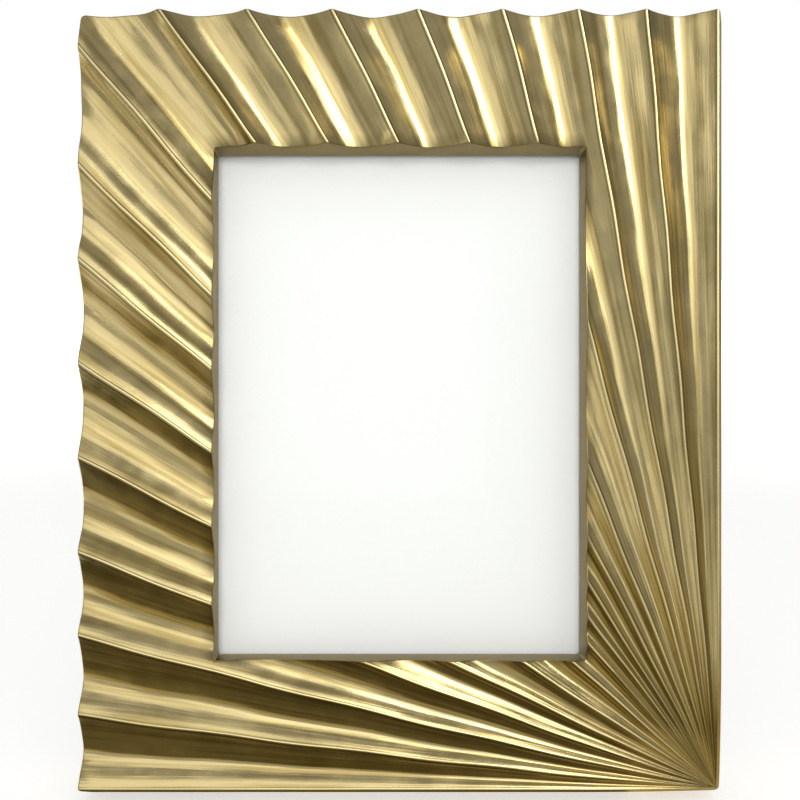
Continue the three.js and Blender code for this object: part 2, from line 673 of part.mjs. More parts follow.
function addFrameAndPack(group) {
  addPiece(group, 'frame_casting', frameCasting(), 'brass');
  addPiece(group, 'glass_pane', photoSheet(glassBack, GLASS_THICKNESS), 'glass');
  addPiece(group, 'photo_card', photoSheet(cardBack, CARD_THICKNESS), 'card');
  addPiece(group, 'spacer_card', photoSheet(spacerBack, SPACER_THICKNESS), 'greyboard');
  addPiece(group, 'easel_back_board', easelBackBoard(), 'velvet');
  addPiece(group, 'backing_ring', backingRing(), 'velvet');
  ringScrewPlaces().forEach(([x, z], i) => {
    const screw = addPiece(group, `ring_screw_${i + 1}`, ringScrew(), 'plated');
    screw.position.set(x, 0, z);
  });
}

function addTurnButtons(group) {
  buttonPlaces().forEach(({ side, x, z }, i) => {
    const button = addPiece(group, `turn_button_${i + 1}`, turnButton(), 'plated');
    button.position.set(x, 0, z);
    button.rotation.y = side < 0 ? 0 : Math.PI;
    const screw = addPiece(group, `turn_button_screw_${i + 1}`, buttonScrew(), 'plated');
    screw.position.set(x, 0, z);
  });
}

function addEasel(group) {
  const hinge = new THREE.Group();
  hinge.position.set(0, hingeBehind, hingeUp);
  group.add(hinge);
  const opened = new THREE.Group();
  opened.rotation.x = lean + spread;
  hinge.add(opened);
  addPiece(hinge, 'hinge_leaf_board', hingeLeaf(true), 'plated');
  addPiece(hinge, 'hinge_pin', hingePin(), 'plated');
  addPiece(opened, 'hinge_leaf_leg', hingeLeaf(false), 'plated');
  addPiece(opened, 'easel_leg', easelLeg(), 'velvet');
  const boardLeafBack = KNUCKLE_RADIUS - LEAF_THICKNESS;
  rivetPlaces().forEach((x, i) => {
    const boardRivet = addPiece(hinge, `board_rivet_${i + 1}`, rivet(boardLeafBack), 'plated');
    boardRivet.position.set(x, 0, LEAF_LENGTH / 2);
    const legRivet = addPiece(opened, `leg_rivet_${i + 1}`, rivet(-KNUCKLE_RADIUS), 'plated');
    legRivet.position.set(x, 0, -LEAF_LENGTH / 2);
  });
  addPiece(group, 'stay_ribbon', stayRibbon(), 'ribbon');
}

// The frame leans back on its standing strip and on the foot of the opened leg.
const leaning = new THREE.Group();
leaning.rotation.x = -lean;
leaning.position.z = -floorLift;
addFrameAndPack(leaning);
addTurnButtons(leaning);
addEasel(leaning);

// The origin is on the floor, below the middle of the standing frame's footprint.
const sunburstPhotoFrame = new THREE.Group();
sunburstPhotoFrame.add(leaning);
sunburstPhotoFrame.updateMatrixWorld(true);
const footprint = new THREE.Box3().setFromObject(sunburstPhotoFrame, true);
leaning.position.y = -(footprint.min.y + footprint.max.y) / 2;

export default sunburstPhotoFrame;
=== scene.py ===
import math

import bmesh
import bpy
import numpy as np
from mathutils import Euler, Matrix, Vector


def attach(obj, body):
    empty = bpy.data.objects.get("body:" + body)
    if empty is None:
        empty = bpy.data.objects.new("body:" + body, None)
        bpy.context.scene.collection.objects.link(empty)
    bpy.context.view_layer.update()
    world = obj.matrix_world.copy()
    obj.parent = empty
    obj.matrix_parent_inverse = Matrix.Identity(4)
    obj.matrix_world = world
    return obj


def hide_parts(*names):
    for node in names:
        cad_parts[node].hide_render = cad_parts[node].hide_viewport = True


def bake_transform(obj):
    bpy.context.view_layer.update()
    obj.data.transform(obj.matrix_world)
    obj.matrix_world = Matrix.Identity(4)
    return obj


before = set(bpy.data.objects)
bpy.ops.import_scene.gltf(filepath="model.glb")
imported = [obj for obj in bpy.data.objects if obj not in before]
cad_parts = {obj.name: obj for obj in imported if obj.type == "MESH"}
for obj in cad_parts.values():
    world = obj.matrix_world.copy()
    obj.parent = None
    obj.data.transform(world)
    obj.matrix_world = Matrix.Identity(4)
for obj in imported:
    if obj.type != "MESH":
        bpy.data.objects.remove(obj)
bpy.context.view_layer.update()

# The camera looks straight at the face of the frame, from about 320 mm in front of its ridges.
# The photograph was cropped to the right of and above the lens axis, which the shift follows.
MM = 0.001
LEAN_DEG = 14
BACK_PLANE_AT = Vector((0, -28.4868, -0.7258)) * MM
VIEW_WIDTH = 258.2
VIEW_MIDDLE = (0.1, 126.7)
CAMERA_DISTANCE = 322
CREST_HEIGHT = 21
SENSOR_WIDTH = 36
SHIFT = (0.03, 0.09)

camera_data = bpy.data.cameras.new("camera")
camera = bpy.data.objects.new("camera", camera_data)
bpy.context.scene.collection.objects.link(camera)
camera_data.sensor_width = SENSOR_WIDTH
camera_data.lens = SENSOR_WIDTH * CAMERA_DISTANCE / VIEW_WIDTH
camera_data.shift_x = SHIFT[0]
camera_data.shift_y = SHIFT[1]
leaning = Euler((-math.radians(LEAN_DEG), 0, 0)).to_matrix()
camera_place = Vector((
    VIEW_MIDDLE[0] - SHIFT[0] * VIEW_WIDTH,
    -CREST_HEIGHT - CAMERA_DISTANCE,
    VIEW_MIDDLE[1] - SHIFT[1] * VIEW_WIDTH,
)) * MM
camera.location = leaning @ camera_place + BACK_PLANE_AT
camera.rotation_euler = (math.radians(90 - LEAN_DEG), 0, 0)
bpy.context.scene.camera = camera
bpy.context.scene.view_settings.view_transform = "Standard"


# The studio. A pale matt floor runs past the view on all sides, under a plain white surround
# that the metal and the glass also show.
FLOOR_SIZE = 6
SURROUND_FOR_LIGHT = 0.6
FLOOR_LIFT = 0.41
FADE_FROM = 0.35
FADE_TO = 1.1
WHITE = "#ffffff"


def linear(hex_colour):
    """A colour written as sRGB hex, as the linear values that a shader takes."""
    parts = [int(hex_colour[i:i + 2], 16) / 255 for i in (1, 3, 5)]
    return [p / 12.92 if p <= 0.04045 else ((p + 0.055) / 1.055) ** 2.4 for p in parts] + [1]


def feed(node, inputs):
    """Gives each input of a node its value, or links it to the output that is given for it."""
    for socket, value in inputs.items():
        if isinstance(value, bpy.types.NodeSocket):
            node.id_data.links.new(value, node.inputs[socket])
        else:
            node.inputs[socket].default_value = value


def add_node(tree, kind, inputs=None, **settings):
    """Adds a shader node, with its settings and what its inputs take."""
    node = tree.nodes.new("ShaderNode" + kind)
    for name, value in settings.items():
        setattr(node, name, value)
    feed(node, inputs or {})
    return node


def reckon(tree, operation, *inputs):
    """The result of one operation on numbers and outputs."""
    return add_node(tree, "Math", dict(enumerate(inputs)), operation=operation).outputs[0]


def ranged(tree, value, low, high, new_low, new_high, **settings):
    """A value taken from one range to another."""
    return add_node(tree, "MapRange", {
        "Value": value, "From Min": low, "From Max": high, "To Min": new_low, "To Max": new_high,
    }, **settings).outputs[0]


def shown_ray(tree):
    """1 for a ray from the camera, or one that metal or glass sends on, and 0 for the rest."""
    path = add_node(tree, "LightPath").outputs
    either = reckon(tree, "MAXIMUM", path["Is Camera Ray"], path["Is Glossy Ray"])
    return reckon(tree, "MAXIMUM", either, path["Is Transmission Ray"])


def new_material(name):
    """A material with its own nodes, and the shader among them."""
    material = bpy.data.materials.new(name)
    material.use_nodes = True
    return material, material.node_tree, material.node_tree.nodes["Principled BSDF"]


def show(tree, shade):
    """Makes a shader the one that the material shows."""
    feed(tree.nodes["Material Output"], {"Surface": shade})


world = bpy.data.worlds.new("white_surround")
bpy.context.scene.world = world
world.use_nodes = True
tree = world.node_tree
feed(tree.nodes["Background"], {
    "Color": linear(WHITE),
    "Strength": reckon(
        tree, "MULTIPLY_ADD", shown_ray(tree), 1 - SURROUND_FOR_LIGHT, SURROUND_FOR_LIGHT)})


def deselect():
    for piece in bpy.context.selected_objects:
        piece.select_set(False)


def primitive(name, add, **settings):
    """Adds a piece by one of Blender's operators, and names it."""
    deselect()
    add(**settings)
    piece = bpy.context.object
    piece.name = name
    return piece


floor = primitive("floor", bpy.ops.mesh.primitive_plane_add, size=FLOOR_SIZE)

# Floor: matt painted board. It is lifted a little for the camera, and further off up to the
# plain white of the surround, so that no horizon shows. It keeps the shadow of the frame.
material, tree, paint = new_material("matt_painted_floor")
feed(paint, {"Base Color": linear("#e6e6e4"), "Roughness": 0.7})
place = add_node(tree, "TexCoord").outputs["Object"]
away = add_node(tree, "VectorMath", {0: place}, operation="LENGTH").outputs["Value"]
lifted = ranged(tree, away, FADE_FROM, FADE_TO, FLOOR_LIFT, 1, interpolation_type="SMOOTHSTEP")
lift = reckon(tree, "MULTIPLY", shown_ray(tree), lifted)
glow = add_node(tree, "Emission", {"Strength": lift})
show(tree, add_node(tree, "AddShader", {0: paint.outputs[0], 1: glow.outputs[0]}).outputs[0])
floor.data.materials.append(material)


# The lamps: a key lamp near the lens axis lights the matt pieces. A wide soft box with a bright
# middle and a small bright box, with black backs, stand where the metal shows them. So do grey
# cards around them, and a brown cloth with a white card on the floor, which only metal shows.
LAMP_BACK = 12
CLOTH_COLOUR = "#ffeeb4"

# Degrees to the right and up, distance, width, height, and radiance or tone.
LAMPS = {
    "key_lamp": (-2, 7, 1500, 500, 500, 14),
    "soft_box": (4.6, 22.9, 1500, 2380, 1040, 1),
    "bright_box": (31.5, 33.8, 1400, 620, 700, 4.2),
    "box_middle": (8, 22.5, 1490, 1000, 560, 0.45),
}
CARDS = {
    "card_behind": (8, 3, 2800, 5480, 3000, 0.43),
    "card_left": (-70, 26.4, 2300, 4040, 2660, 0.37),
    "card_right": (78.6, 10.6, 2250, 2460, 3000, 0.32),
    "card_above": (0, 104, 2200, 5200, 4740, 0.3),
    "card_low": (29.5, -5.4, 1800, 920, 490, 0.9),
}
# Two corners on the floor, how high the sheet lies, and its tone.
CLOTHS = {
    "cloth_by_frame": ((-2000, -114), (75, -42), 1.5, 0.12),
    "cloth_by_point": ((75, -114), (2000, -42), 1.5, 0.42),
    "cloth_left": ((-2000, -3000), (95, -114), 1.5, 0.41),
    "cloth_right": ((95, -3000), (2000, -114), 1.5, 0.3),
    "card_on_floor": ((-1208, -919), (-204, -165), 4, 0.78),
}


def studio_place(right, up, distance):
    """A place seen from the middle of the face, and the turn that faces it."""
    across, rise = math.radians(right), math.radians(up)
    way = Vector((
        math.sin(across) * math.cos(rise), -math.cos(across) * math.cos(rise), math.sin(rise)))
    middle = Vector((0, -CREST_HEIGHT, VIEW_MIDDLE[1])) * MM
    place = leaning @ (middle + way * distance * MM) + BACK_PLANE_AT
    return place, (leaning @ -way).to_track_quat("-Z", "Y").to_euler()


for name, (right, up, distance, width, height, radiance) in LAMPS.items():
    if name in ("soft_box", "bright_box"):
        CARDS[name + "_back"] = (right, up, distance + LAMP_BACK, width, height, 0)
    lamp_data = bpy.data.lights.new(name, "AREA")
    lamp_data.shape = "RECTANGLE"
    lamp_data.size = width * MM
    lamp_data.size_y = height * MM
    lamp_data.energy = radiance * math.pi * lamp_data.size * lamp_data.size_y
    box = bpy.data.objects.new(name, lamp_data)
    bpy.context.scene.collection.objects.link(box)
    box.location, box.rotation_euler = studio_place(right, up, distance)
    box.visible_camera = False
    box.visible_glossy = name != "key_lamp"
    box.visible_diffuse = name == "key_lamp"


def only_in_metal(sheet, tone, colour=WHITE):
    """Gives a card or cloth its plain tone, and shows it in reflections alone."""
    sheet.visible_camera = False
    sheet.visible_diffuse = False
    sheet.visible_shadow = False
    sheet.visible_transmission = False
    material, tree, _ = new_material(sheet.name)
    show(tree, add_node(tree, "Emission", {"Color": linear(colour), "Strength": tone}).outputs[0])
    sheet.data.materials.append(material)


for name, (right, up, distance, width, height, tone) in CARDS.items():
    sheet = primitive(name, bpy.ops.mesh.primitive_plane_add, size=1)
    sheet.scale = (width * MM, height * MM, 1)
    sheet.location, sheet.rotation_euler = studio_place(right, up, distance)
    only_in_metal(sheet, tone)

for name, ((left, front), (right, back), level, tone) in CLOTHS.items():
    sheet = primitive(name, bpy.ops.mesh.primitive_plane_add, size=1, location=(
        (left + right) / 2 * MM, (front + back) / 2 * MM, level * MM))
    sheet.scale = ((right - left) * MM, (back - front) * MM, 1)
    only_in_metal(sheet, tone, CLOTH_COLOUR if name.startswith("cloth") else WHITE)


# The casting: one brass plate with a fan of flutes that starts in its lower right corner. It
# is cast hollow, its flutes are scraped smooth by hand, so no two have quite the same section,
# and its ridges stand up as thin beads.
FRAME_WIDTH = 208
FRAME_HEIGHT = 253
CORNER_RADIUS = 1.7
WINDOW_WIDTH = 121.2
WINDOW_HEIGHT = 167.2
WINDOW_MIDDLE = 126
WINDOW_RADIUS = 1
FAN_POINT = (102.8, 1)
RIDGES_AT_RIM = [
    0, 5.2, 10.1, 15.4, 21, 26.3, 31.1, 35.6, 40.7, 45.7, 50.4, 56.3, 62.6, 69.5, 76.2, 83.1, 90]
RIDGES_AT_POINT = [
    0, 5.5, 10.8, 16.2, 21.9, 27.2, 32.3, 36.9, 41.7, 48.7, 57, 64.5, 71.3, 78.3, 84.7, 90]
SHARED_RIDGES = 4
FAN_REACH = 250
FLUTE_DEPTH_RATIO = 0.263
ARCH_SHARE = 0.7
# The depth of each flute and five waves in its section, in thousandths. A scratch program
# fitted these two tables to the shading in the photograph.
FLUTES_BEYOND = np.array([
    (820, -11, -25, -11, 17, 5),
    (760, -11, -8, -8, 16, 9),
    (790, -14, -8, -6, 14, 3),
    (790, -32, -1, 20, 8, 7),
    (880, -8, -2, 14, 7, -3),
    (860, -12, 32, 4, 14, 4),
    (810, -60, 46, 33, 0, 2),
    (750, 18, 48, 53, 10, 13),
    (650, 48, 31, 74, 7, 12),
    (890, 75, -15, 9, -17, 11),
    (890, 48, -23, 9, -19, -1),
    (870, 48, 35, 9, -15, 2),
    (890, -3, 22, 9, -23, 9),
    (890, -29, 2, 22, -3, 15),
    (890, -66, -5, 38, -5, 2),
    (890, -38, -29, 47, -4, 1)]) / 1000
FLUTES_BEFORE = np.array([
    (750, 62, -1, -23, -6, 12),
    (840, 25, 2, -40, -4, 4),
    (860, 6, 3, -12, -1, -9),
    (860, 20, 10, 10, 10, 0),
    (860, 20, 10, 10, 10, 0),
    (840, 6, 39, 49, 17, -2),
    (870, 71, 26, 51, 26, -7),
    (750, -11, 40, 16, -16, 20),
    (920, 60, 5, 36, 30, 16)]) / 1000
WANDER = 0.025
WANDER_LENGTH = 55
WANDER_WAVES = ((2, 1), (5, 0.37))
WOBBLE = 0.22
WOBBLE_LENGTH = 46
WOBBLE_FROM_DEG = 5
WOBBLE_FROM_REACH = 80
POINT_DROP = 2.2
POINT_DROP_RADIUS = 45
BEAD_WIDTH = 1.4
BEAD_RISE = 0.32
# Painted shade: a fine line in the crease at each foot of a ridge, stronger on the side turned from
# the light.
CREASE_SHADE_PLACE = 0.72
CREASE_SHADE_WIDTH = 0.3
CREASE_SHADE_EDGE = 0.1
CREASE_SHADE_AT_FEET = ((0.4, 0.55), (0.9, -0.85))
CREASE_SHADE_FROM = 70
CREASE_SHADE_LEAST = 0.15
# A painted dark line of shade along the window's rounded edge.
WINDOW_LINE = 0.8
WINDOW_LINE_AT = 0.2
WINDOW_LINE_WIDTH = 0.25
# A painted highlight along the crown of each bead: how far down its sides it reaches, and its fade.
CREST_HIGHLIGHT_REACH = 0.42
CREST_FADE = 0.15
# Painted shade on the shaded side of each ridge, near the rim.
RIDGE_SHADE = 0.75
RIDGE_SHADE_WIDTH = 3.5
RIDGE_SHADE_LENGTH = 14
RIDGE_SHADE_TURN = 1.6
RIDGE_SHADE_BELOW_FROM = 0.3
RIDGE_SHADE_UNEVEN = 0.3
RIDGE_SHADE_PHASE = 5.3
RIDGE_SHADE_FALL = 1.5
BEAD_SHARE = 0.28
BESIDE_RIDGE = [0, 0.2, 0.38, 0.52, 0.62, 0.7, 0.78, 0.85, 0.95, 1.1, 1.3]
CUTS_IN_FLUTE = 26
MARGIN_STEPS = (0, 0.04, 0.12, 0.25, 0.42, 0.6, 0.8)
OUTER_EDGE = 0.5
WINDOW_EDGE = 0.3
BACK_EDGE = 0.4
EDGE_STEPS = [0, 0.08, 0.3, 0.6, 1]
NEAR_STEPS = [0.98 * (i / 40) ** 1.3 for i in range(40)]
FAR_STEPS = 10
HALVINGS = 40
PROBES = {"from": 5, "to": 330, "step": 0.5}
RIM_WITHIN = 200
MERGE_WITHIN = 0.002
TINY = 1e-6


def depth_inside(x, z, width, height, middle, radius):
    """How far a place lies inside a rectangle with round corners, or less than 0 outside it."""
    beside = np.abs(x) - (width / 2 - radius)
    above = np.abs(z - middle) - (height / 2 - radius)
    round_part = np.hypot(np.maximum(beside, 0), np.maximum(above, 0))
    return radius - round_part - np.minimum(np.maximum(beside, above), 0)


def in_frame(x, z):
    return depth_inside(x, z, FRAME_WIDTH, FRAME_HEIGHT, FRAME_HEIGHT / 2, CORNER_RADIUS)


def in_window(x, z):
    return depth_inside(x, z, WINDOW_WIDTH, WINDOW_HEIGHT, WINDOW_MIDDLE, WINDOW_RADIUS)


def ridge_pairs(beyond_window):
    """Each ridge's angle at the rim and at the point. Those that pass the window are shared."""
    own, shared = RIDGES_AT_RIM if beyond_window else RIDGES_AT_POINT, SHARED_RIDGES
    first = zip(RIDGES_AT_RIM[:shared], RIDGES_AT_POINT[:shared])
    last = zip(RIDGES_AT_RIM[-shared:], RIDGES_AT_POINT[-shared:])
    alone = ((angle, angle) for angle in own[shared:-shared])
    return np.array([*first, *alone, *last], float)


def columns_of(ridges):
    """The lines of points along the fan: flute, side (-1, 0, 1, or 2 past the fan) and place."""
    side_margin = FRAME_WIDTH / 2 - FAN_POINT[0]
    right = [side_margin * (1 - step) for step in MARGIN_STEPS]
    below = [FAN_POINT[1] * (1 - step) for step in MARGIN_STEPS]
    columns = [(0, -2, place) for place in right]
    for flute in range(len(ridges) - 1):
        columns += [(flute, -1, place) for place in BESIDE_RIDGE]
        columns += [(flute, 0, cut / CUTS_IN_FLUTE) for cut in range(1, CUTS_IN_FLUTE)]
        columns += [(flute, 1, place) for place in BESIDE_RIDGE[:0:-1]]
    columns.append((len(ridges) - 2, 1, 0))
    columns += [(len(ridges) - 2, 2, place) for place in below[::-1]]
    return np.array(columns, float)


def wobble(angle, distance):
    """How far a ridge strays to one side where it was filed by hand."""
    free = np.clip(np.minimum(angle, 90 - angle) / WOBBLE_FROM_DEG, 0, 1)
    free = free * np.clip(distance / WOBBLE_FROM_REACH, 0, 1)
    return WOBBLE * free * np.sin(math.tau * distance / WOBBLE_LENGTH + angle)


def fan_places(fan, distance):
    """Where each column is at its distance from the point, and its height there."""
    columns, ridges = fan
    distance = np.maximum(distance, TINY)
    flute, side, place = columns[:, 0].astype(int), columns[:, 1], columns[:, 2]
    share = np.maximum(0, 1 - distance / FAN_REACH)
    left, right = (
        np.radians(at_rim + (at_point - at_rim) * share) + wobble(at_rim, distance) / distance
        for at_rim, at_point in (ridges[flute].T, ridges[flute + 1].T))
    width = (right - left) * distance
    bead = np.minimum(BEAD_WIDTH, BEAD_SHARE * width)
    fine = place * bead / BEAD_WIDTH / width
    edge = BESIDE_RIDGE[-1] * bead / BEAD_WIDTH / width
    across = np.select([side < 0, side > 0], [fine, 1 - fine], edge + place * (1 - 2 * edge))
    margin = np.abs(side) == 2
    across = np.where(margin, 0, across)
    angle = np.where(side == 2, right, left + across * (right - left))
    x = FAN_POINT[0] - distance * np.sin(angle) + np.where(side == -2, place, 0)
    z = FAN_POINT[1] + distance * np.cos(angle) - np.where(side == 2, place, 0)

    beside = np.where(margin, place, np.minimum(across, 1 - across) * width)
    rise = BEAD_RISE * np.maximum(0, 1 - (2 * beside / bead) ** 2)
    own = FLUTES_BEYOND
    if len(ridges) <= len(FLUTES_BEYOND):
        shared = SHARED_RIDGES - 1
        own = np.concatenate([FLUTES_BEYOND[:shared], FLUTES_BEFORE, FLUTES_BEYOND[-shared:]])
    depth, *waves = own[flute].T
    inner = np.clip((across * width - bead / 2) / (width - bead), 0, 1)
    arch = 1 - (2 * inner - 1) ** 2
    wave = (1 - np.cos(2 * math.pi * inner)) / 2
    section = depth * (ARCH_SHARE * arch + (1 - ARCH_SHARE) * wave)
    section += sum(size * np.sin(count * math.pi * inner) for count, size in enumerate(waves, 2))
    for count, part in WANDER_WAVES:
        wander = np.sin(math.tau * distance / (part * WANDER_LENGTH) + count * ridges[flute, 0])
        section += WANDER * part * wander * np.sin(count * math.pi * inner)
    hollow = FLUTE_DEPTH_RATIO * width * section
    drop = POINT_DROP * np.maximum(0, 1 - distance / POINT_DROP_RADIUS) ** 2
    height = CREST_HEIGHT - drop + rise * bead / BEAD_WIDTH - hollow
    return x, z, height


def rounded_off(inside, radius):
    """How much lower the surface is near an edge that is rounded over."""
    short = radius - np.clip(inside, 0, radius)
    return radius - np.sqrt(radius ** 2 - short ** 2)


def crossing(fan, low, high, depth, sign):
    """The distance, between two others, at which the sign of each column's depth changes."""
    for _ in range(HALVINGS):
        middle = (low + high) / 2
        x, z, _ = fan_places(fan, middle)
        before = sign * depth(x, z) > 0
        low, high = np.where(before, middle, low), np.where(before, high, middle)
    return (low + high) / 2


def stretch(fan, distance, depth):
    """How much further a column runs than it gets away from an edge that it meets at a slant."""
    ahead, least = 0.5, 0.1
    x, z, _ = fan_places(fan, distance)
    x_on, z_on, _ = fan_places(fan, distance + ahead)
    return ahead / np.clip(np.abs(depth(x_on, z_on) - depth(x, z)), least, ahead)


def painted_shade_at(x, z, fan):
    """How much painted shade each place gets: a fine line of it lies at both feet of a ridge, with
    its strength on each side set by how the ridge is turned to the light, and fades to the fan's
    point, and near the rim more of it lies on the shaded side of a ridge."""
    columns, ridges = fan
    flute, side, place = columns[:, 0].astype(int), columns[:, 1], columns[:, 2]
    turned = ridges[flute, 0] / 90
    reach = np.hypot(x - FAN_POINT[0], z - FAN_POINT[1])
    feet = [first + gain * turned for first, gain in CREASE_SHADE_AT_FEET]
    # A line of painted shade in the crease at each foot of a ridge.
    off_line = np.abs(place - CREASE_SHADE_PLACE) - CREASE_SHADE_WIDTH / 2
    line = np.clip(1 - off_line / CREASE_SHADE_EDGE, 0, 1)
    line = np.select([side == -1, side == 1], feet, 0) * line
    line = line * np.clip(reach / CREASE_SHADE_FROM, CREASE_SHADE_LEAST, 1)

    # Painted shade on the shaded side of a ridge, near the rim.
    width = np.radians(ridges[flute + 1, 0] - ridges[flute, 0]) * reach
    from_lower = np.select([side < 0, side > 0], [place, width - place], place * width)
    below = np.exp(-from_lower / RIDGE_SHADE_WIDTH)
    below = below * np.clip(RIDGE_SHADE_TURN * turned - RIDGE_SHADE_BELOW_FROM, 0, 1)
    above = np.exp(-(width - from_lower) / RIDGE_SHADE_WIDTH) * np.clip(1 - RIDGE_SHADE_TURN * turned, 0, 1)
    uneven = 1 - RIDGE_SHADE_UNEVEN + RIDGE_SHADE_UNEVEN * np.sin(RIDGE_SHADE_PHASE * flute + 1)
    near_rim = np.clip(1 + in_frame(x, z) / RIDGE_SHADE_LENGTH, 0, 1) ** RIDGE_SHADE_FALL
    ridge_shade = RIDGE_SHADE * np.where(np.abs(side) == 2, 0, (below + above) * uneven * near_rim)
    return np.maximum(line, ridge_shade)


def rows_of(fan, beyond_window):
    """The distances of the rows of points, from the point to the window or on to the rim."""
    columns = fan[0]
    count = len(columns)
    probes = np.arange(PROBES["from"], PROBES["to"], PROBES["step"])
    hits = np.array([in_window(*fan_places(fan, np.full(count, p))[:2]) > 0 for p in probes])
    hit = hits.any(axis=0)
    first = probes[np.argmax(hits, axis=0)]
    last = probes[len(probes) - 1 - np.argmax(hits[::-1], axis=0)]
    centre_x = WINDOW_WIDTH / 2 - WINDOW_RADIUS
    centre_z = WINDOW_HEIGHT / 2 - WINDOW_RADIUS
    top_right = math.hypot(FAN_POINT[0] - centre_x, WINDOW_MIDDLE + centre_z - FAN_POINT[1])
    low_left = math.hypot(FAN_POINT[0] + centre_x, WINDOW_MIDDLE - centre_z - FAN_POINT[1])
    in_first_half = np.arange(count) < count / 2
    passing = np.where(in_first_half, top_right, low_left)
    if not beyond_window:
        meet = crossing(fan, first - PROBES["step"], first, in_window, -1)
        meet = np.where(hit, meet, passing)
        slant = np.where(hit, stretch(fan, meet, in_window), 1) * WINDOW_EDGE
        rows = [(meet - slant) * step for step in NEAR_STEPS]
        return rows + [meet - slant * step for step in EDGE_STEPS[::-1]]
    leave = crossing(fan, last, last + PROBES["step"], in_window, 1)
    leave = np.where(hit, leave, passing)
    slant = np.where(hit, stretch(fan, leave, in_window), 1) * WINDOW_EDGE
    rim = crossing(fan, leave, leave + RIM_WITHIN, in_frame, 1)
    rim_slant = stretch(fan, rim, in_frame) * OUTER_EDGE
    side = columns[:, 1]
    first_ridge, last_ridge = np.argmax(side > -2), count - 1 - np.argmax(side[::-1] < 2)
    for past, ridge in ((side == -2, first_ridge), (side == 2, last_ridge)):
        rim[past], rim_slant[past] = rim[ridge], rim_slant[ridge]
    rows = [leave + slant * step for step in EDGE_STEPS]
    start, end = leave + slant, rim - rim_slant
    rows += [start + (end - start) * step / FAR_STEPS for step in range(1, FAR_STEPS)]
    return rows + [rim - rim_slant * step for step in EDGE_STEPS[::-1]]


def hold_in(x, z):
    """Draws places past a round corner of the frame back on to it."""
    beside = np.abs(x) - (FRAME_WIDTH / 2 - CORNER_RADIUS)
    above = np.abs(z - FRAME_HEIGHT / 2) - (FRAME_HEIGHT / 2 - CORNER_RADIUS)
    far = np.hypot(beside, above)
    past = (beside > 0) & (above > 0) & (far > CORNER_RADIUS)
    spare = np.where(past, 1 - CORNER_RADIUS / np.maximum(far, TINY), 0)
    return x - np.sign(x) * beside * spare, z - np.sign(z - FRAME_HEIGHT / 2) * above * spare


def points_of(piece):
    """The places of the points of a piece, one in each row."""
    places = np.empty(len(piece.data.vertices) * 3, np.float32)
    piece.data.vertices.foreach_get("co", places)
    return places.reshape(-1, 3)


def mark(piece, name, values):
    """Gives each point of a piece a number that the material reads."""
    numbers = piece.data.attributes.new(name, "FLOAT", "POINT").data
    numbers.foreach_set("value", values.astype(np.float32))


def pressed_grid(name, x, z, height, painted_shade, crest):
    """A grid, as many rows and columns as the places given, whose points are set on them."""
    rows, columns = x.shape
    piece = primitive(
        name, bpy.ops.mesh.primitive_grid_add,
        x_subdivisions=columns - 1, y_subdivisions=rows - 1, size=2)
    flat = points_of(piece)
    column = np.rint((flat[:, 0] + 1) / 2 * (columns - 1)).astype(int)
    row = np.rint((flat[:, 1] + 1) / 2 * (rows - 1)).astype(int)
    x, z = hold_in(x, z)
    height = height - rounded_off(in_frame(x, z), OUTER_EDGE)
    height = height - rounded_off(-in_window(x, z), WINDOW_EDGE)
    placed = np.stack([x, -height, z], axis=-1)[row, column] * MM
    piece.data.vertices.foreach_set("co", placed.astype(np.float32).ravel())
    # The crests get their painted highlight.
    mark(piece, "painted_crest_highlight", crest[column])
    # A painted dark line of shade along the window's edge joins the painted shade.
    off_line = np.abs(in_window(x, z) + WINDOW_LINE_AT) / WINDOW_LINE_WIDTH
    edge_line = np.clip(1 - off_line, 0, 1) * WINDOW_LINE
    mark(piece, "painted_shade", np.maximum(painted_shade, edge_line)[row, column])
    return piece


def fan_sheet(name, beyond_window):
    """The front of the casting, from the fan's point to the window or from there to the rim."""
    ridges = ridge_pairs(beyond_window)
    columns = columns_of(ridges)
    fan = (columns, ridges)
    rows = rows_of(fan, beyond_window)
    x, z, height = map(np.array, zip(*(fan_places(fan, row) for row in rows)))
    painted_shade = painted_shade_at(x, z, fan)
    # A painted highlight on the crown of each bead, fading down its sides.
    crest_highlight = np.clip((CREST_HIGHLIGHT_REACH - columns[:, 2]) / CREST_FADE, 0, 1)
    return pressed_grid(name, x, z, height, painted_shade, np.where(np.abs(columns[:, 1]) == 1, crest_highlight, 0))


def only(piece):
    """Selects one piece alone."""
    deselect()
    piece.select_set(True)
    bpy.context.view_layer.objects.active = piece


def edit_all():
    """Starts to edit the active piece, with all of it selected."""
    bpy.ops.object.mode_set(mode="EDIT")
    bpy.ops.mesh.select_all(action="SELECT")


def end_edit():
    """Turns all faces of the piece outwards and ends its editing."""
    bpy.ops.mesh.select_all(action="SELECT")
    bpy.ops.mesh.normals_make_consistent()
    bpy.ops.object.mode_set(mode="OBJECT")


casting = fan_sheet("casting", False)
beyond = fan_sheet("casting_beyond", True)
steps = np.array([*MARGIN_STEPS, 1])
corner_x, corner_z = np.meshgrid(
    FRAME_WIDTH / 2 - (FRAME_WIDTH / 2 - FAN_POINT[0]) * steps, FAN_POINT[1] * steps)
corner = pressed_grid(
    "casting_corner", corner_x, corner_z, np.full(corner_x.shape, CREST_HEIGHT - POINT_DROP),
    np.zeros(corner_x.shape), np.zeros(len(steps)))

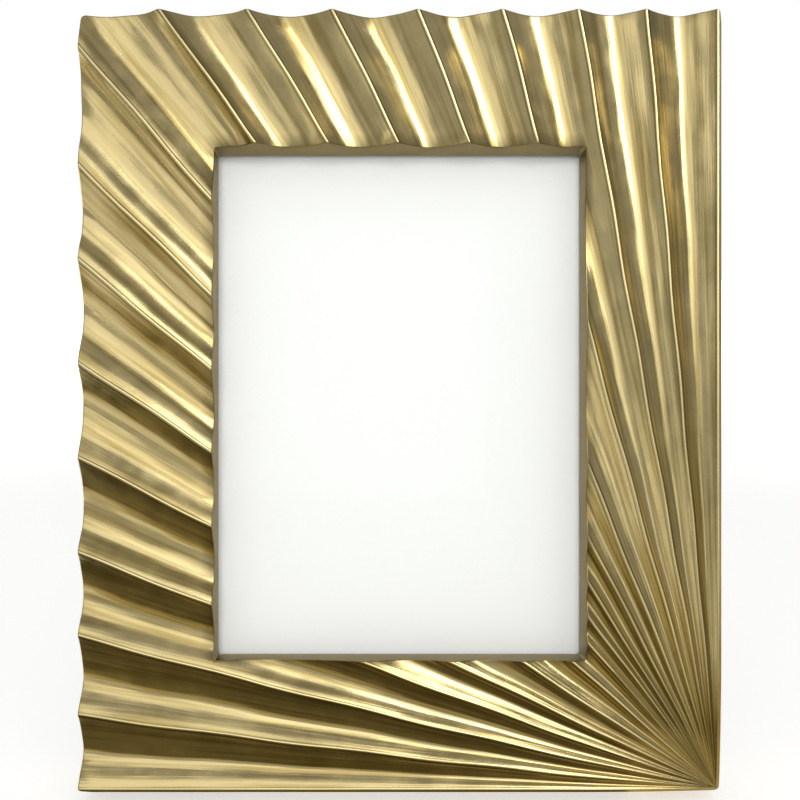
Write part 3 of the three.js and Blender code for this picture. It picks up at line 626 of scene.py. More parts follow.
only(casting)
beyond.select_set(True)
corner.select_set(True)
bpy.ops.object.join()
edit_all()
bpy.ops.mesh.remove_doubles(threshold=MERGE_WITHIN * MM)
bpy.ops.mesh.select_mode(type="EDGE")
bpy.ops.mesh.select_all(action="DESELECT")
bpy.ops.mesh.select_non_manifold(
    use_wire=False, use_boundary=True, use_multi_face=False, use_non_contiguous=False,
    use_verts=False)
bpy.ops.mesh.extrude_edges_move()
bpy.ops.transform.resize(value=(1, 0, 1), center_override=(0, -BACK_EDGE * MM, 0))
bpy.ops.mesh.extrude_edges_move()
bpy.ops.transform.resize(value=(1, 0, 1), center_override=(0, 0, 0))
bpy.ops.transform.resize(
    value=(1 - 2 * BACK_EDGE / FRAME_WIDTH, 1, 1 - 2 * BACK_EDGE / FRAME_HEIGHT),
    center_override=(0, 0, FRAME_HEIGHT / 2 * MM))
bpy.ops.mesh.bridge_edge_loops()
end_edit()


# Behind the front the casting is hollow: a cavity closed by the backing ring, a pocket that
# the glass and the photo lie in, a lip before it, and six bosses for screws.
SIDE_WALL = 3.2
WINDOW_WALL = 2.3
CAVITY_HEIGHT = 11
POCKET_SIZE = (128.2, 179.2)
POCKET_WALL = 2.2
LIP_BACK = 8.1
LIP_FRONT = 10.1
RING_FRONT = 3.3
GAP = 0.3
PAST = 1
BOSS_RADIUS = 4.5
SCREW_HOLE_RADIUS = 1.5
SCREW_HOLE_FRONT = 10.6
ROUND_STEPS = 48
POLISH_MARGIN = 0.1
CASTING_SMOOTH_DEG = 32
SMOOTH_DEG = 40


def bevel_edges(piece, wanted, radius, steps):
    """Bevels the edges of the active piece that pass a test."""
    bpy.ops.object.mode_set(mode="EDIT")
    bpy.ops.mesh.select_mode(type="EDGE")
    bpy.ops.mesh.select_all(action="DESELECT")
    edited = bmesh.from_edit_mesh(piece.data)
    for edge in edited.edges:
        edge.select = wanted(edge)
    bmesh.update_edit_mesh(piece.data)
    bpy.ops.mesh.bevel(offset=radius * MM, segments=steps, affect="EDGES")
    bpy.ops.object.mode_set(mode="OBJECT")


def runs_back(edge):
    """An edge that runs from front to back, as at the corners of a plate."""
    along = edge.verts[1].co - edge.verts[0].co
    return abs(along.y) > 0.9 * along.length


def plate(name, size, back, front, radius, steps=5):
    """A plate parallel to the back plane, with round corners, between two heights above it."""
    piece = primitive(
        name, bpy.ops.mesh.primitive_cube_add, size=1,
        location=(0, -(back + front) / 2 * MM, FRAME_HEIGHT / 2 * MM),
        scale=(size[0] * MM, (front - back) * MM, size[1] * MM))
    bpy.ops.object.transform_apply()
    bevel_edges(piece, runs_back, radius, steps)
    return piece


def rod(name, radius, back, front, x, z):
    """A round rod from back to front."""
    piece = primitive(
        name, bpy.ops.mesh.primitive_cylinder_add,
        vertices=ROUND_STEPS, radius=radius * MM, depth=(front - back) * MM,
        location=(x * MM, -(back + front) / 2 * MM, z * MM), rotation=(math.pi / 2, 0, 0))
    bpy.ops.object.transform_apply()
    return piece


def combine(piece, tool, operation="DIFFERENCE"):
    """Cuts a tool out of a piece, or joins it on, and clears the tool away."""
    only(piece)
    step = piece.modifiers.new(operation.lower(), "BOOLEAN")
    step.operation = operation
    step.solver = "MANIFOLD"
    step.object = tool
    bpy.ops.object.modifier_apply(modifier=step.name)
    bpy.data.objects.remove(tool)


def put(piece, turn_deg, place):
    """Turns a piece about the x axis and moves it, and keeps its place in its mesh."""
    only(piece)
    piece.rotation_euler = (math.radians(turn_deg), 0, 0)
    piece.location = place
    bpy.ops.object.transform_apply()


def cut_at_floor(piece):
    """Cuts away what would lie below the floor, so that the piece stands flat on it."""
    only(piece)
    edit_all()
    bpy.ops.mesh.bisect(plane_co=(0, 0, 0), plane_no=(0, 0, 1), use_fill=True, clear_inner=True)
    bpy.ops.object.mode_set(mode="OBJECT")


def smooth(angle_deg=SMOOTH_DEG):
    """Shades the selected piece as round, but keeps the edges that are sharper than an angle."""
    bpy.ops.object.shade_smooth_by_angle(angle=math.radians(angle_deg))


inner_size = (FRAME_WIDTH - 2 * SIDE_WALL, FRAME_HEIGHT - 2 * SIDE_WALL)
tube_size = (WINDOW_WIDTH + 2 * WINDOW_WALL, WINDOW_HEIGHT + 2 * WINDOW_WALL)
seat_size = (POCKET_SIZE[0] + 2 * POCKET_WALL, POCKET_SIZE[1] + 2 * POCKET_WALL)
screw_x = (POCKET_SIZE[0] + inner_size[0]) / 4
screw_z = (POCKET_SIZE[1] + inner_size[1]) / 4
screw_places = [
    (side * screw_x, FRAME_HEIGHT / 2 + up * screw_z) for side in (-1, 0, 1) for up in (-1, 1)]

cavity = plate("cavity", inner_size, -PAST, CAVITY_HEIGHT, CORNER_RADIUS)
tube = plate("tube", tube_size, -2 * PAST, CAVITY_HEIGHT + PAST, WINDOW_RADIUS + WINDOW_WALL)
combine(cavity, tube)
seat = plate("seat", seat_size, RING_FRONT + GAP, LIP_FRONT, WINDOW_RADIUS)
combine(cavity, seat)
for x, z in screw_places:
    boss = rod("boss", BOSS_RADIUS, RING_FRONT + GAP, CAVITY_HEIGHT + PAST, x, z)
    combine(cavity, boss)
combine(cavity, plate("pocket", POCKET_SIZE, -2 * PAST, LIP_BACK, WINDOW_RADIUS), "UNION")
combine(casting, cavity)
for x, z in screw_places:
    hole = rod("screw_hole", SCREW_HOLE_RADIUS, RING_FRONT, SCREW_HOLE_FRONT, x, z)
    combine(casting, hole)

x, y, z = (points_of(casting) / MM).T
# The window's walls and the hollow stay as cast: rougher, and darker in colour, partly as painted
# shade of the recess.
unpolished_and_shaded = (in_window(x, z) > -POLISH_MARGIN) | (-y < CAVITY_HEIGHT + POLISH_MARGIN)
unpolished_and_shaded &= in_frame(x, z) > POLISH_MARGIN
mark(casting, "as_cast_and_shaded", unpolished_and_shaded)
dark = casting.data.attributes["painted_shade"].data
painted_shade = np.empty(len(unpolished_and_shaded), np.float32)
dark.foreach_get("value", painted_shade)
dark.foreach_set("value", np.where(unpolished_and_shaded, 0, painted_shade).astype(np.float32))
put(casting, -LEAN_DEG, BACK_PLANE_AT)
cut_at_floor(casting)
smooth(CASTING_SMOOTH_DEG)

# Satin brass, cast and then scraped along the flutes: warm pale gold that shows the room in long
# soft bands, with fine scrape marks, a cloudy polish and small casting pits. Its colour also holds
# painted
# light: a painted highlight on the crest of each ridge, painted shade in the creases at the ridges'
# feet, on their shaded sides near the rim and along the window's edge, and on the as-cast walls a
# darker colour that is partly painted shade of the window's recess.
BRASS_TINT = "#ebd89f"
BRASS_DEEP = "#dfca8e"
# The colour of the painted highlight on the crests.
BRASS_PAINTED_HIGHLIGHT = "#f9e6aa"
BRASS_STREAK = "#a68e49"
# As-cast colour, darkened in part as painted shade of the window's recess.
BRASS_AS_CAST_AND_SHADED = "#86743f"
# The colour of the painted shade in the creases and beside the ridges.
PAINTED_SHADE_COLOUR = "#4a3b1c"
ROUGHNESS_AS_CAST = 0.42
# Marks are as wide as this at this reach, and narrower towards the point of the fan.
SCRAPE = {"width": 2.2, "at_reach": 200, "length": 80}
STREAK = {"width": 0.6, "at_reach": 180, "length": 25}
SCRAPE_TONE = 0.6
GRAIN = 0.4
CLOUD = 9
PIT_SPACING = 1.6


def from_back_plane(tree, origin=(0, 0)):
    """Object coordinates in millimetres, unleaned and counted from a point of the frame."""
    back = leaning.transposed() @ (BACK_PLANE_AT / MM) + Vector((origin[0], 0, origin[1]))
    return add_node(tree, "Mapping", {
        "Vector": add_node(tree, "TexCoord").outputs["Object"],
        "Scale": (1 / MM, 1 / MM, 1 / MM),
        "Rotation": (math.radians(LEAN_DEG), 0, 0),
        "Location": -back}).outputs[0]


def noise(tree, place, size, detail, roughness=0.5):
    """Noise with features of about a size, in the unit of the places."""
    return add_node(tree, "TexNoise", {
        "Vector": place, "Scale": 1 / size, "Detail": detail, "Roughness": roughness}).outputs[0]


def mixed(tree, share, first, second):
    """The first colour, and as much of the second as a share from 0 to 1 says."""
    first, second = (linear(c) if isinstance(c, str) else c for c in (first, second))
    mix = add_node(tree, "Mix", {"Factor": share, "A": first, "B": second}, data_type="RGBA")
    return mix.outputs["Result"]


def bump(tree, height, strength, depth, under=None):
    """Relief of a depth in millimetres, on top of that of another bump."""
    inputs = {"Height": height, "Strength": strength, "Distance": depth * MM}
    if under is not None:
        inputs["Normal"] = under
    return add_node(tree, "Bump", inputs).outputs[0]


def marked(tree, name):
    """The number that the points of the piece were given under a name."""
    return add_node(tree, "Attribute", attribute_name=name).outputs["Fac"]


def along_flutes(tree, local, marks):
    """Places in the fan: the turn about its point counted in widths, and the reach in lengths."""
    parts = add_node(tree, "SeparateXYZ", {0: local}).outputs
    reach = add_node(tree, "VectorMath", {0: local}, operation="LENGTH").outputs["Value"]
    turn = reckon(tree, "ARCTAN2", parts["X"], parts["Z"])
    across = reckon(tree, "MULTIPLY", turn, marks["at_reach"] / marks["width"])
    along = reckon(tree, "MULTIPLY", reach, 1 / marks["length"])
    return add_node(tree, "CombineXYZ", {0: across, 1: along}).outputs[0]


brass, tree, shader = new_material("satin_cast_brass")
local = from_back_plane(tree, FAN_POINT)
streaks = noise(tree, along_flutes(tree, local, STREAK), 1, 3)
scrapes = noise(tree, along_flutes(tree, local, SCRAPE), 1, 4)
grain = noise(tree, local, GRAIN, 2)
clouds = noise(tree, local, CLOUD, 4)
spots = add_node(tree, "TexVoronoi", {"Vector": local, "Scale": 1 / PIT_SPACING})
pits = ranged(tree, spots.outputs["Distance"], 0.05, 0.16, 0, 1)
tint = mixed(tree, clouds, BRASS_DEEP, BRASS_TINT)
tint = mixed(tree, ranged(tree, scrapes, 0.38, 0.54, SCRAPE_TONE, 0), tint, BRASS_STREAK)
# A painted highlight on the crests of the ridges.
tint = mixed(tree, marked(tree, "painted_crest_highlight"), tint, BRASS_PAINTED_HIGHLIGHT)
# Painted shade in the creases, beside the ridges and along the window's edge.
tint = mixed(tree, marked(tree, "painted_shade"), tint, PAINTED_SHADE_COLOUR)
# The as-cast walls, darker in part as painted shade of the window's recess.
tint = mixed(tree, marked(tree, "as_cast_and_shaded"), tint, BRASS_AS_CAST_AND_SHADED)
roughness = add_node(tree, "Mix", {
    "Factor": marked(tree, "as_cast_and_shaded"), "A": ranged(tree, clouds, 0.35, 0.65, 0.14, 0.26),
    "B": ROUGHNESS_AS_CAST})
relief = bump(tree, scrapes, 1, 0.1)
relief = bump(tree, streaks, 1, 0.012, relief)
relief = bump(tree, grain, 1, 0.004, relief)
relief = bump(tree, pits, 0.5, 0.03, relief)
feed(shader, {
    "Metallic": 1, "Base Color": tint, "Roughness": roughness.outputs["Result"],
    "Normal": relief})


def fit(piece, material, body, node):
    """Gives a piece its material, and says which body it moves with and which solid it shows."""
    piece.data.materials.clear()
    piece.data.materials.append(material)
    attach(piece, body)
    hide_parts(node)


fit(casting, brass, "frame", "frame_casting")


# The glass: a 2 mm pane of coated float glass that lies against the lip. Its index gives the
# small share that the coating still reflects. It lets light through and casts no shadow.
def finish_node(name, material):
    """Gives a solid from the frame its material."""
    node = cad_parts[name]
    node.data.materials.clear()
    node.data.materials.append(material)


glass, tree, shader = new_material("coated_float_glass")
feed(shader, {
    "Base Color": linear("#fbfdfc"), "Roughness": 0.02, "IOR": 1.08, "Transmission Weight": 1})
path = add_node(tree, "LightPath").outputs
unseen = reckon(tree, "MAXIMUM", path["Is Shadow Ray"], path["Is Diffuse Ray"])
clear = add_node(tree, "BsdfTransparent").outputs[0]
show(tree, add_node(tree, "MixShader", {0: unseen, 1: shader.outputs[0], 2: clear}).outputs[0])
finish_node("glass_pane", glass)


# The photo: a blank sheet of smooth white paper, as such frames are sold with. It lies loose
# against the glass.
FIBRE = 0.35


def pressed_fibres(name, size, detail, dark, pale, strength, depth, roughness):
    """Paper or board, with fibres of a size that show in its colour and its relief."""
    material, tree, shader = new_material(name)
    fibres = noise(tree, from_back_plane(tree), size, detail)
    feed(shader, {
        "Base Color": mixed(tree, fibres, dark, pale), "Roughness": roughness,
        "Normal": bump(tree, fibres, strength, depth)})
    return material


finish_node("photo_card", pressed_fibres(
    "blank_white_photo_paper", FIBRE, 4, "#f3f3f1", "#f7f7f6", 0.3, 0.01, 0.75))


# The spacer: a sheet of greyboard pressed from waste paper, with darker and paler flecks. It
# lies between the photo and the easel back, which press it to the glass.
FLECK = 0.8
finish_node("spacer_card", pressed_fibres(
    "pressed_greyboard", FLECK, 6, "#7b746a", "#aaa194", 0.5, 0.04, 0.95))


# The easel back: a fibreboard, wrapped in black velvet whose edges turn over in a soft round.
# It has a slot that the end of the stay ribbon is glued into.
BOARD_SIZE = (127.4, 178.4)
BOARD_BACK = 0.3
BOARD_FRONT = 3.3
WRAP_RADIUS = 0.9
RIBBON_UP = 65
RIBBON_TUCK = 1.4
RIBBON_SLOT = (5.3, 0.55)
SAME_HEIGHT = 0.01
SHARP_DEG = 60


def block(name, low, high):
    """A block between two corners."""
    piece = primitive(
        name, bpy.ops.mesh.primitive_cube_add,
        size=1, location=[(a + b) / 2 * MM for a, b in zip(low, high)],
        scale=[(b - a) * MM for a, b in zip(low, high)])
    bpy.ops.object.transform_apply()
    return piece


def cut_slot(piece, half_size, start, end, up=0):
    """Cuts a level slot into the middle of a piece, from one place to another along y."""
    across, rise = half_size
    combine(piece, block("slot", (-across, start, up - rise), (across, end, up + rise)))


def rim_at(height):
    """Tests for a sharp edge that lies all at one height above the back plane."""
    def on_rim(edge):
        level = all(abs(vert.co.y + height * MM) < SAME_HEIGHT * MM for vert in edge.verts)
        return level and edge.calc_face_angle(0) > math.radians(SHARP_DEG)
    return on_rim


def round_edges(piece, wanted, radius, steps=4):
    """Rounds over the edges that pass a test, and shades what is round as smooth."""
    only(piece)
    bevel_edges(piece, wanted, radius, steps)
    smooth()


board = plate("back_board", BOARD_SIZE, BOARD_BACK, BOARD_FRONT, 1)
round_edges(board, rim_at(BOARD_BACK), WRAP_RADIUS)
cut_slot(board, RIBBON_SLOT, -BOARD_BACK - RIBBON_TUCK - GAP, PAST, RIBBON_UP)
put(board, -LEAN_DEG, BACK_PLANE_AT)

# Black velvet: a short dense pile that is deep black straight on and goes grey where it is
# seen at a slant, with patches where the nap lies another way.
PILE = 0.35
NAP = 14
velvet, tree, shader = new_material("black_velvet")
local = from_back_plane(tree)
pile = noise(tree, local, PILE, 3)
nap = noise(tree, local, NAP, 3)
depth = ranged(tree, reckon(tree, "MULTIPLY", pile, nap), 0.12, 0.42, 0, 1)
feed(shader, {
    "Base Color": mixed(tree, depth, "#08080a", "#1f1e23"), "Roughness": 0.95,
    "Specular IOR Level": 0.15, "Sheen Weight": 0.55, "Sheen Roughness": 0.35,
    "Sheen Tint": linear("#8d8a96"),
    "Normal": bump(tree, nap, 0.35, 0.6, bump(tree, pile, 0.8, 0.12))})
fit(board, velvet, "frame", "easel_back_board")


# The backing ring: a velvet-covered fibreboard that closes the hollow casting around the
# easel back. It is drilled and countersunk for six screws, and drilled for the turn buttons.
RING_SIZE = (201, 246)
RING_RADIUS = 1.4
HEAD_RADIUS = 2.8
HEAD_HEIGHT = 1.6
BUTTON_X = 72.1
BUTTON_UP = (66.5, 126.5, 186.5)
button_places = [(side * BUTTON_X, up) for side in (-1, 1) for up in BUTTON_UP]


def turned(name, profile, place=(0, 0)):
    """A piece turned about an axis from front to back. The profile lists radius and height."""
    radius, height = profile[0]
    piece = primitive(
        name, bpy.ops.mesh.primitive_circle_add,
        vertices=ROUND_STEPS, radius=radius * MM, fill_type="NGON",
        location=(place[0] * MM, -height * MM, place[1] * MM), rotation=(math.pi / 2, 0, 0))
    bpy.ops.object.transform_apply()
    edit_all()
    for (radius, height), (next_radius, next_height) in zip(profile, profile[1:]):
        bpy.ops.mesh.extrude_region_move(
            TRANSFORM_OT_translate={"value": (0, (height - next_height) * MM, 0)})
        part = next_radius / radius
        bpy.ops.transform.resize(
            value=(part, 1, part), center_override=(place[0] * MM, 0, place[1] * MM))
    end_edit()
    return piece


ring = plate("back_ring", RING_SIZE, BOARD_BACK, BOARD_FRONT, RING_RADIUS)
middle = plate("middle", POCKET_SIZE, -PAST, BOARD_FRONT + PAST, WINDOW_RADIUS)
combine(ring, middle)
round_edges(ring, rim_at(BOARD_BACK), WRAP_RADIUS)
for place in screw_places:
    combine(ring, turned("screw_hole", [
        (SCREW_HOLE_RADIUS, BOARD_FRONT + PAST), (SCREW_HOLE_RADIUS, BOARD_BACK + HEAD_HEIGHT),
        (HEAD_RADIUS + GAP, BOARD_BACK), (HEAD_RADIUS + GAP, -PAST)], place))
for x, z in button_places:
    hole = rod("button_hole", SCREW_HOLE_RADIUS, -PAST, BOARD_FRONT + PAST, x, z)
    combine(ring, hole)
put(ring, -LEAN_DEG, BACK_PLANE_AT)
fit(ring, velvet, "frame", "backing_ring")


# The ring screws: six slotted countersunk screws of brass-plated steel, turned down flush
# with the velvet.
SHANK_RADIUS = 1.2
SCREW_LENGTH = 10
SCREW_POINT = 0.6
SLOT_WIDTH = 0.7
SLOT_DEPTH = 0.6
RIM_EDGE = 0.12
SCREW_TURNS = (12, 64, -25, 80, 40, -8)


ring_screw = turned("ring_screw", [
    (SHANK_RADIUS / 2, BOARD_BACK + SCREW_LENGTH),
    (SHANK_RADIUS, BOARD_BACK + SCREW_LENGTH - SCREW_POINT),
    (SHANK_RADIUS, BOARD_BACK + HEAD_HEIGHT), (HEAD_RADIUS, BOARD_BACK + RIM_EDGE),
    (HEAD_RADIUS - RIM_EDGE / 2, BOARD_BACK + RIM_EDGE / 4), (HEAD_RADIUS - RIM_EDGE, BOARD_BACK)])
cut_slot(ring_screw, (HEAD_RADIUS + PAST, SLOT_WIDTH / 2), -BOARD_BACK - SLOT_DEPTH, PAST)
smooth()

# Brass plate on mild steel: a yellow, fairly bright metal, brushed before it was plated, with
# hair scratches from handling and a duller bloom in patches.
BRUSHING = 0.12
BRUSHING_LENGTH = 40
SCRATCH = 0.9
SCRATCH_SLOWED = 0.08
SCRATCH_DEG = 35
BLOOM = 5
plating, tree, shader = new_material("brass_plated_steel")
local = from_back_plane(tree)
brushed = add_node(tree, "Mapping", {
    "Vector": local, "Scale": (1 / BRUSHING / BRUSHING_LENGTH, 1 / BRUSHING, 1 / BRUSHING)})
slanted = add_node(tree, "Mapping", {
    "Vector": local, "Rotation": (0, math.radians(SCRATCH_DEG), 0),
    "Scale": (SCRATCH_SLOWED / SCRATCH, 1 / SCRATCH, 1 / SCRATCH)})
relief = bump(tree, noise(tree, brushed.outputs[0], 1, 2), 0.5, 0.006)
relief = bump(tree, noise(tree, slanted.outputs[0], 1, 5, 0.8), 0.4, 0.01, relief)
bloom = noise(tree, local, BLOOM, 4)
feed(shader, {
    "Metallic": 1, "Base Color": mixed(tree, bloom, "#c79a45", "#dcb765"),
    "Roughness": ranged(tree, bloom, 0.3, 0.7, 0.18, 0.36), "Normal": relief})


def set_in(piece, name, place, turn_deg, body, node):
    """Sets a copy of a plated piece in the back, turned about its axis from front to back."""
    twin = piece.copy()
    twin.data = piece.data.copy()
    twin.name = name
    bpy.context.scene.collection.objects.link(twin)
    only(twin)
    twin.rotation_euler = (0, math.radians(turn_deg), 0)
    twin.location = (place[0] * MM, 0, place[1] * MM)
    bpy.ops.object.transform_apply()
    put(twin, -LEAN_DEG, BACK_PLANE_AT)
    fit(twin, plating, body, node)


for number, (place, turn_deg) in enumerate(zip(screw_places, SCREW_TURNS), 1):
    set_in(
        ring_screw, f"ring_screw_head_{number}", place, turn_deg, "frame", f"ring_screw_{number}")
bpy.data.objects.remove(ring_screw)


# The turn buttons: six flat clips punched from brass-plated sheet, with a pressed rib, that
# swing over the edge of the easel back on slotted round-head screws.
EYE_RADIUS = 4.5
TIP_RADIUS = 3
TIP_AT = 10
BUTTON_THICKNESS = 0.8
BUTTON_EDGE = 0.18
RIB = {"from": 5.2, "to": 11.4, "half_width": 1, "height": 0.3}
DOME_RADIUS = 2.4
DOME_HEIGHT = 1.15
DOME_SEAT = -0.92
DOME_STEPS = 6
DOME_END_DEG = 84
BUTTON_SCREW_TIP = 2.8
BUTTON_SCREW_TURN = 37


def arc(centre, radius, start_deg, end_deg, steps):
    """Places along an arc, as (x, z)."""
    angles = [math.radians(start_deg + (end_deg - start_deg) * i / steps) for i in range(steps + 1)]
    return [(centre[0] + radius * math.cos(a), centre[1] + radius * math.sin(a)) for a in angles]


def cut_out(name, outline, back, front):
    """A flat piece cut to an outline of places (x, z), between two heights."""
    piece = primitive(
        name, bpy.ops.mesh.primitive_circle_add,
        vertices=len(outline), radius=MM, fill_type="NGON")
    for point, (x, z) in zip(piece.data.vertices, outline):
        point.co = Vector((x, -back, z)) * MM
    edit_all()
    bpy.ops.mesh.extrude_region_move(TRANSFORM_OT_translate={"value": (0, (back - front) * MM, 0)})
    end_edit()
    return piece


def dome(radius, seat, height):
    """The profile of a round head from its seat to its rearmost point."""
    turns = [i / DOME_STEPS * math.radians(DOME_END_DEG) for i in range(DOME_STEPS + 1)]
    return [(radius * math.cos(a), seat - height * math.sin(a)) for a in turns]


clip = cut_out(
    "clip", arc((0, 0), EYE_RADIUS, 90, 270, 28) + arc((TIP_AT, 0), TIP_RADIUS, -90, 90, 20),
    -BUTTON_THICKNESS, 0)
round_edges(clip, rim_at(-BUTTON_THICKNESS), BUTTON_EDGE, 2)
round_edges(clip, rim_at(0), BUTTON_EDGE, 2)
rib = primitive(
    "rib", bpy.ops.mesh.primitive_uv_sphere_add, segments=32, ring_count=16, radius=1,
    location=((RIB["from"] + RIB["to"]) / 2 * MM, BUTTON_THICKNESS * MM, 0),
    scale=((RIB["to"] - RIB["from"]) / 2 * MM, RIB["height"] * MM, RIB["half_width"] * MM))
bpy.ops.object.transform_apply()
combine(clip, rib, "UNION")
combine(clip, rod("hole", SCREW_HOLE_RADIUS, -2 * PAST, PAST, 0, 0))
smooth()

button_screw = turned("button_screw", [
    (SHANK_RADIUS / 2, BUTTON_SCREW_TIP), (SHANK_RADIUS, BUTTON_SCREW_TIP - SCREW_POINT),
    (SHANK_RADIUS, DOME_SEAT)] + dome(DOME_RADIUS, DOME_SEAT, DOME_HEIGHT))
dome_top = DOME_HEIGHT - DOME_SEAT
cut_slot(
    button_screw, (DOME_RADIUS + PAST, SLOT_WIDTH / 2), dome_top - SLOT_DEPTH, dome_top + PAST)
smooth()

for number, place in enumerate(button_places, 1):
    set_in(
        clip, f"clip_{number}", place, 0 if place[0] < 0 else 180,
        f"button_{number}", f"turn_button_{number}")
    set_in(
        button_screw, f"clip_screw_{number}", place, BUTTON_SCREW_TURN * number,
        "frame", f"turn_button_screw_{number}")
bpy.data.objects.remove(clip)
bpy.data.objects.remove(button_screw)


# The hinge: two leaves rolled from brass-plated strip around a headed pin. One is riveted to
# the easel back and goes up, the other is riveted to the leg and goes down.
HINGE_BEHIND = 2
HINGE_UP = 150
LEAF_HALF = 17
LEAF_LENGTH = 14
LEAF_THICKNESS = 0.8
LEAF_CORNER = 2.5
KNUCKLE_RADIUS = 2
KNUCKLE_SPLIT = (7.15, 7.45)
KNUCKLE_EDGE = 0.25
PIN_RADIUS = 1
PIN_HOLE_RADIUS = 1.3
PIN_HEAD = (1.6, 0.6)
PIN_EDGE = 0.15
RIVET_X = 10
RIVET_HEAD = (2.2, 0.8)
RIVET_RADIUS = 1
RIVET_BITE = 2
LEG_SPREAD_DEG = 15
hinge_at = leaning @ (Vector((0, HINGE_BEHIND, HINGE_UP)) * MM) + BACK_PLANE_AT


def turned_across(name, profile):
    """A piece turned about an axis that runs across the frame, as the pin does."""
    piece = turned(name, profile)
    piece.rotation_euler = (0, 0, math.pi / 2)
    bpy.ops.object.transform_apply()
    return piece


def knuckle(start, end):
    """A rolled knuckle of the hinge, along the pin."""
    return turned_across("knuckle", [
        (KNUCKLE_RADIUS - KNUCKLE_EDGE, end), (KNUCKLE_RADIUS, end - KNUCKLE_EDGE),
        (KNUCKLE_RADIUS, start + KNUCKLE_EDGE), (KNUCKLE_RADIUS - KNUCKLE_EDGE, start)])


def leaf(name, knuckles, spare, up):
    """A hinge leaf around the pin: a plate with its far corners rounded, and its knuckles."""
    y = -KNUCKLE_RADIUS if up > 0 else KNUCKLE_RADIUS - LEAF_THICKNESS
    far = LEAF_LENGTH - LEAF_CORNER
    corners = arc((LEAF_HALF - LEAF_CORNER, far), LEAF_CORNER, 0, 90, 8)
    corners += arc((LEAF_CORNER - LEAF_HALF, far), LEAF_CORNER, 90, 180, 8)
    outline = [(LEAF_HALF, 0)] + corners + [(-LEAF_HALF, 0)]
    piece = cut_out(name, [(x, z * up) for x, z in outline], -y - LEAF_THICKNESS, -y)
    round_edges(piece, rim_at(-y - LEAF_THICKNESS), BUTTON_EDGE, 2)
    clear = KNUCKLE_RADIUS + GAP
    for start, end in spare:
        combine(piece, block("gap", (start, -clear, -clear), (end, clear, clear)))
    for start, end in knuckles:
        combine(piece, knuckle(start, end), "UNION")
    bore = knuckle(-LEAF_HALF - 2 * PAST, LEAF_HALF + 2 * PAST)
    bore.scale = (1, PIN_HOLE_RADIUS / KNUCKLE_RADIUS, PIN_HOLE_RADIUS / KNUCKLE_RADIUS)
    bpy.ops.object.transform_apply()
    combine(piece, bore)
    smooth()
    return piece


def rivet(leaf_back, x, z):
    """A rivet from its shank's end to its domed head behind a leaf."""
    seat = leaf_back - GAP / 4
    tip = leaf_back + LEAF_THICKNESS + GAP + RIVET_BITE
    head = dome(RIVET_HEAD[0], seat, RIVET_HEAD[1])
    piece = turned("rivet", [(RIVET_RADIUS, tip), (RIVET_RADIUS, seat)] + head, (x, z))
    smooth()
    return piece


inner, outer = KNUCKLE_SPLIT
board_leaf = leaf("board_leaf", [(-LEAF_HALF, -outer), (outer, LEAF_HALF)], [(-outer, outer)], 1)
put(board_leaf, -LEAN_DEG, hinge_at)
fit(board_leaf, plating, "frame", "hinge_leaf_board")
leg_leaf = leaf(
    "leg_leaf", [(-inner, inner)], [(-LEAF_HALF - PAST, -inner), (inner, LEAF_HALF + PAST)], -1)
put(leg_leaf, LEG_SPREAD_DEG, hinge_at)
fit(leg_leaf, plating, "leg", "hinge_leaf_leg")

head_radius, head_width = PIN_HEAD
seat = LEAF_HALF + GAP
pin_half = [
    (head_radius - PIN_EDGE, seat + head_width), (head_radius, seat + head_width - PIN_EDGE),
    (head_radius, seat), (PIN_RADIUS, seat)]
pin = turned_across("pin", pin_half + [(radius, -end) for radius, end in pin_half[::-1]])
smooth()
put(pin, -LEAN_DEG, hinge_at)
fit(pin, plating, "frame", "hinge_pin")

for number, side in enumerate((-1, 1), 1):
    board_rivet = rivet(KNUCKLE_RADIUS - LEAF_THICKNESS, side * RIVET_X, LEAF_LENGTH / 2)
    put(board_rivet, -LEAN_DEG, hinge_at)
    fit(board_rivet, plating, "frame", f"board_rivet_{number}")
    leg_rivet = rivet(-KNUCKLE_RADIUS, side * RIVET_X, -LEAF_LENGTH / 2)
    put(leg_rivet, LEG_SPREAD_DEG, hinge_at)
    fit(leg_rivet, plating, "leg", f"leg_rivet_{number}")


# The easel leg: a tapered fibreboard wrapped in the same velvet, with its foot cut flat to
# the table and a slot for the other end of the ribbon.
LEG_FRONT = 1.7
LEG_BACK = -0.9
LEG_TOP = -2.6
LEG_FOOT = -149.66
LEG_TOP_HALF = 18
LEG_FOOT_HALF = 25
LEG_CORNER = 7
RIBBON_BELOW = 85

foot_up = LEG_FOOT + LEG_CORNER
leg_outline = [(-LEG_TOP_HALF, LEG_TOP)]
leg_outline += arc((LEG_CORNER - LEG_FOOT_HALF, foot_up), LEG_CORNER, 180, 270, 12)
leg_outline += arc((LEG_FOOT_HALF - LEG_CORNER, foot_up), LEG_CORNER, 270, 360, 12)
leg_outline += [(LEG_TOP_HALF, LEG_TOP)]
leg = cut_out("leg", leg_outline, LEG_BACK, LEG_FRONT)
round_edges(leg, rim_at(LEG_BACK), WRAP_RADIUS)
round_edges(leg, rim_at(LEG_FRONT), WRAP_RADIUS)
cut_slot(
    leg, RIBBON_SLOT, -LEG_FRONT - PAST, -LEG_FRONT + RIBBON_TUCK + GAP, -RIBBON_BELOW)
put(leg, LEG_SPREAD_DEG, hinge_at)
cut_at_floor(leg)
smooth()
fit(leg, velvet, "leg", "easel_leg")


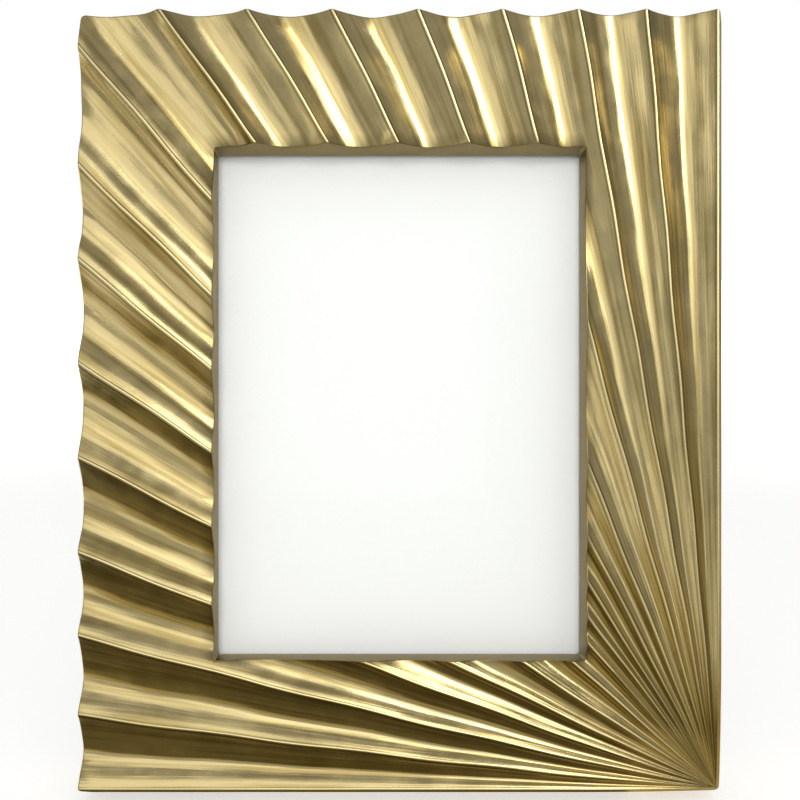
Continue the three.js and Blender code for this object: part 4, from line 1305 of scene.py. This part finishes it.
# The stay ribbon: a woven satin ribbon with firm edges, glued into both slots. It is pulled
# straight by the opened leg and stops it there.
RIBBON_WIDTH = 10
RIBBON_THICKNESS = 0.35
RIBBON_CUTS = 24
WIDTH_CUTS = 8
ribbon_turn = Euler((math.radians(LEG_SPREAD_DEG), 0, 0)).to_matrix()


def on_board(y):
    return leaning @ (Vector((0, y, RIBBON_UP)) * MM) + BACK_PLANE_AT


def on_leg(y):
    return ribbon_turn @ (Vector((0, y, -RIBBON_BELOW)) * MM) + hinge_at


ribbon_start, ribbon_end = on_board(-BOARD_BACK), on_leg(-LEG_FRONT)
ribbon_path = [on_board(-BOARD_BACK - RIBBON_TUCK)]
ribbon_path += [ribbon_start.lerp(ribbon_end, i / RIBBON_CUTS) for i in range(RIBBON_CUTS + 1)]
ribbon_path += [on_leg(RIBBON_TUCK - LEG_FRONT)]

ribbon = primitive(
    "ribbon", bpy.ops.mesh.primitive_grid_add,
    x_subdivisions=WIDTH_CUTS, y_subdivisions=len(ribbon_path) - 1, size=2)
for point in ribbon.data.vertices:
    step = round((point.co.y + 1) / 2 * (len(ribbon_path) - 1))
    point.co = ribbon_path[step] + Vector((point.co.x * RIBBON_WIDTH / 2 * MM, 0, 0))
thicken = ribbon.modifiers.new("thickness", "SOLIDIFY")
thicken.thickness = RIBBON_THICKNESS * MM
thicken.offset = 0
bpy.ops.object.modifier_apply(modifier=thicken.name)
smooth()

# Black satin: fine shiny threads along the ribbon, and a matt corded selvedge at each side.
THREAD = 0.3
SELVEDGE = 4.4
satin, tree, shader = new_material("black_satin_ribbon")
local = from_back_plane(tree)
across = add_node(tree, "SeparateXYZ", {0: local}).outputs["X"]
ribs = reckon(tree, "SINE", reckon(tree, "MULTIPLY", across, math.tau / THREAD))
weave = reckon(tree, "ADD", ribs, noise(tree, local, THREAD, 2))
edge = reckon(tree, "GREATER_THAN", reckon(tree, "ABSOLUTE", across), SELVEDGE)
feed(shader, {
    "Base Color": mixed(tree, edge, "#17161a", "#0c0c0e"),
    "Roughness": ranged(tree, edge, 0, 1, 0.38, 0.8), "Sheen Weight": 0.3,
    "Normal": bump(tree, weave, 0.5, 0.04)})
ribbon.data.materials.append(satin)
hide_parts("stay_ribbon")
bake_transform(ribbon)
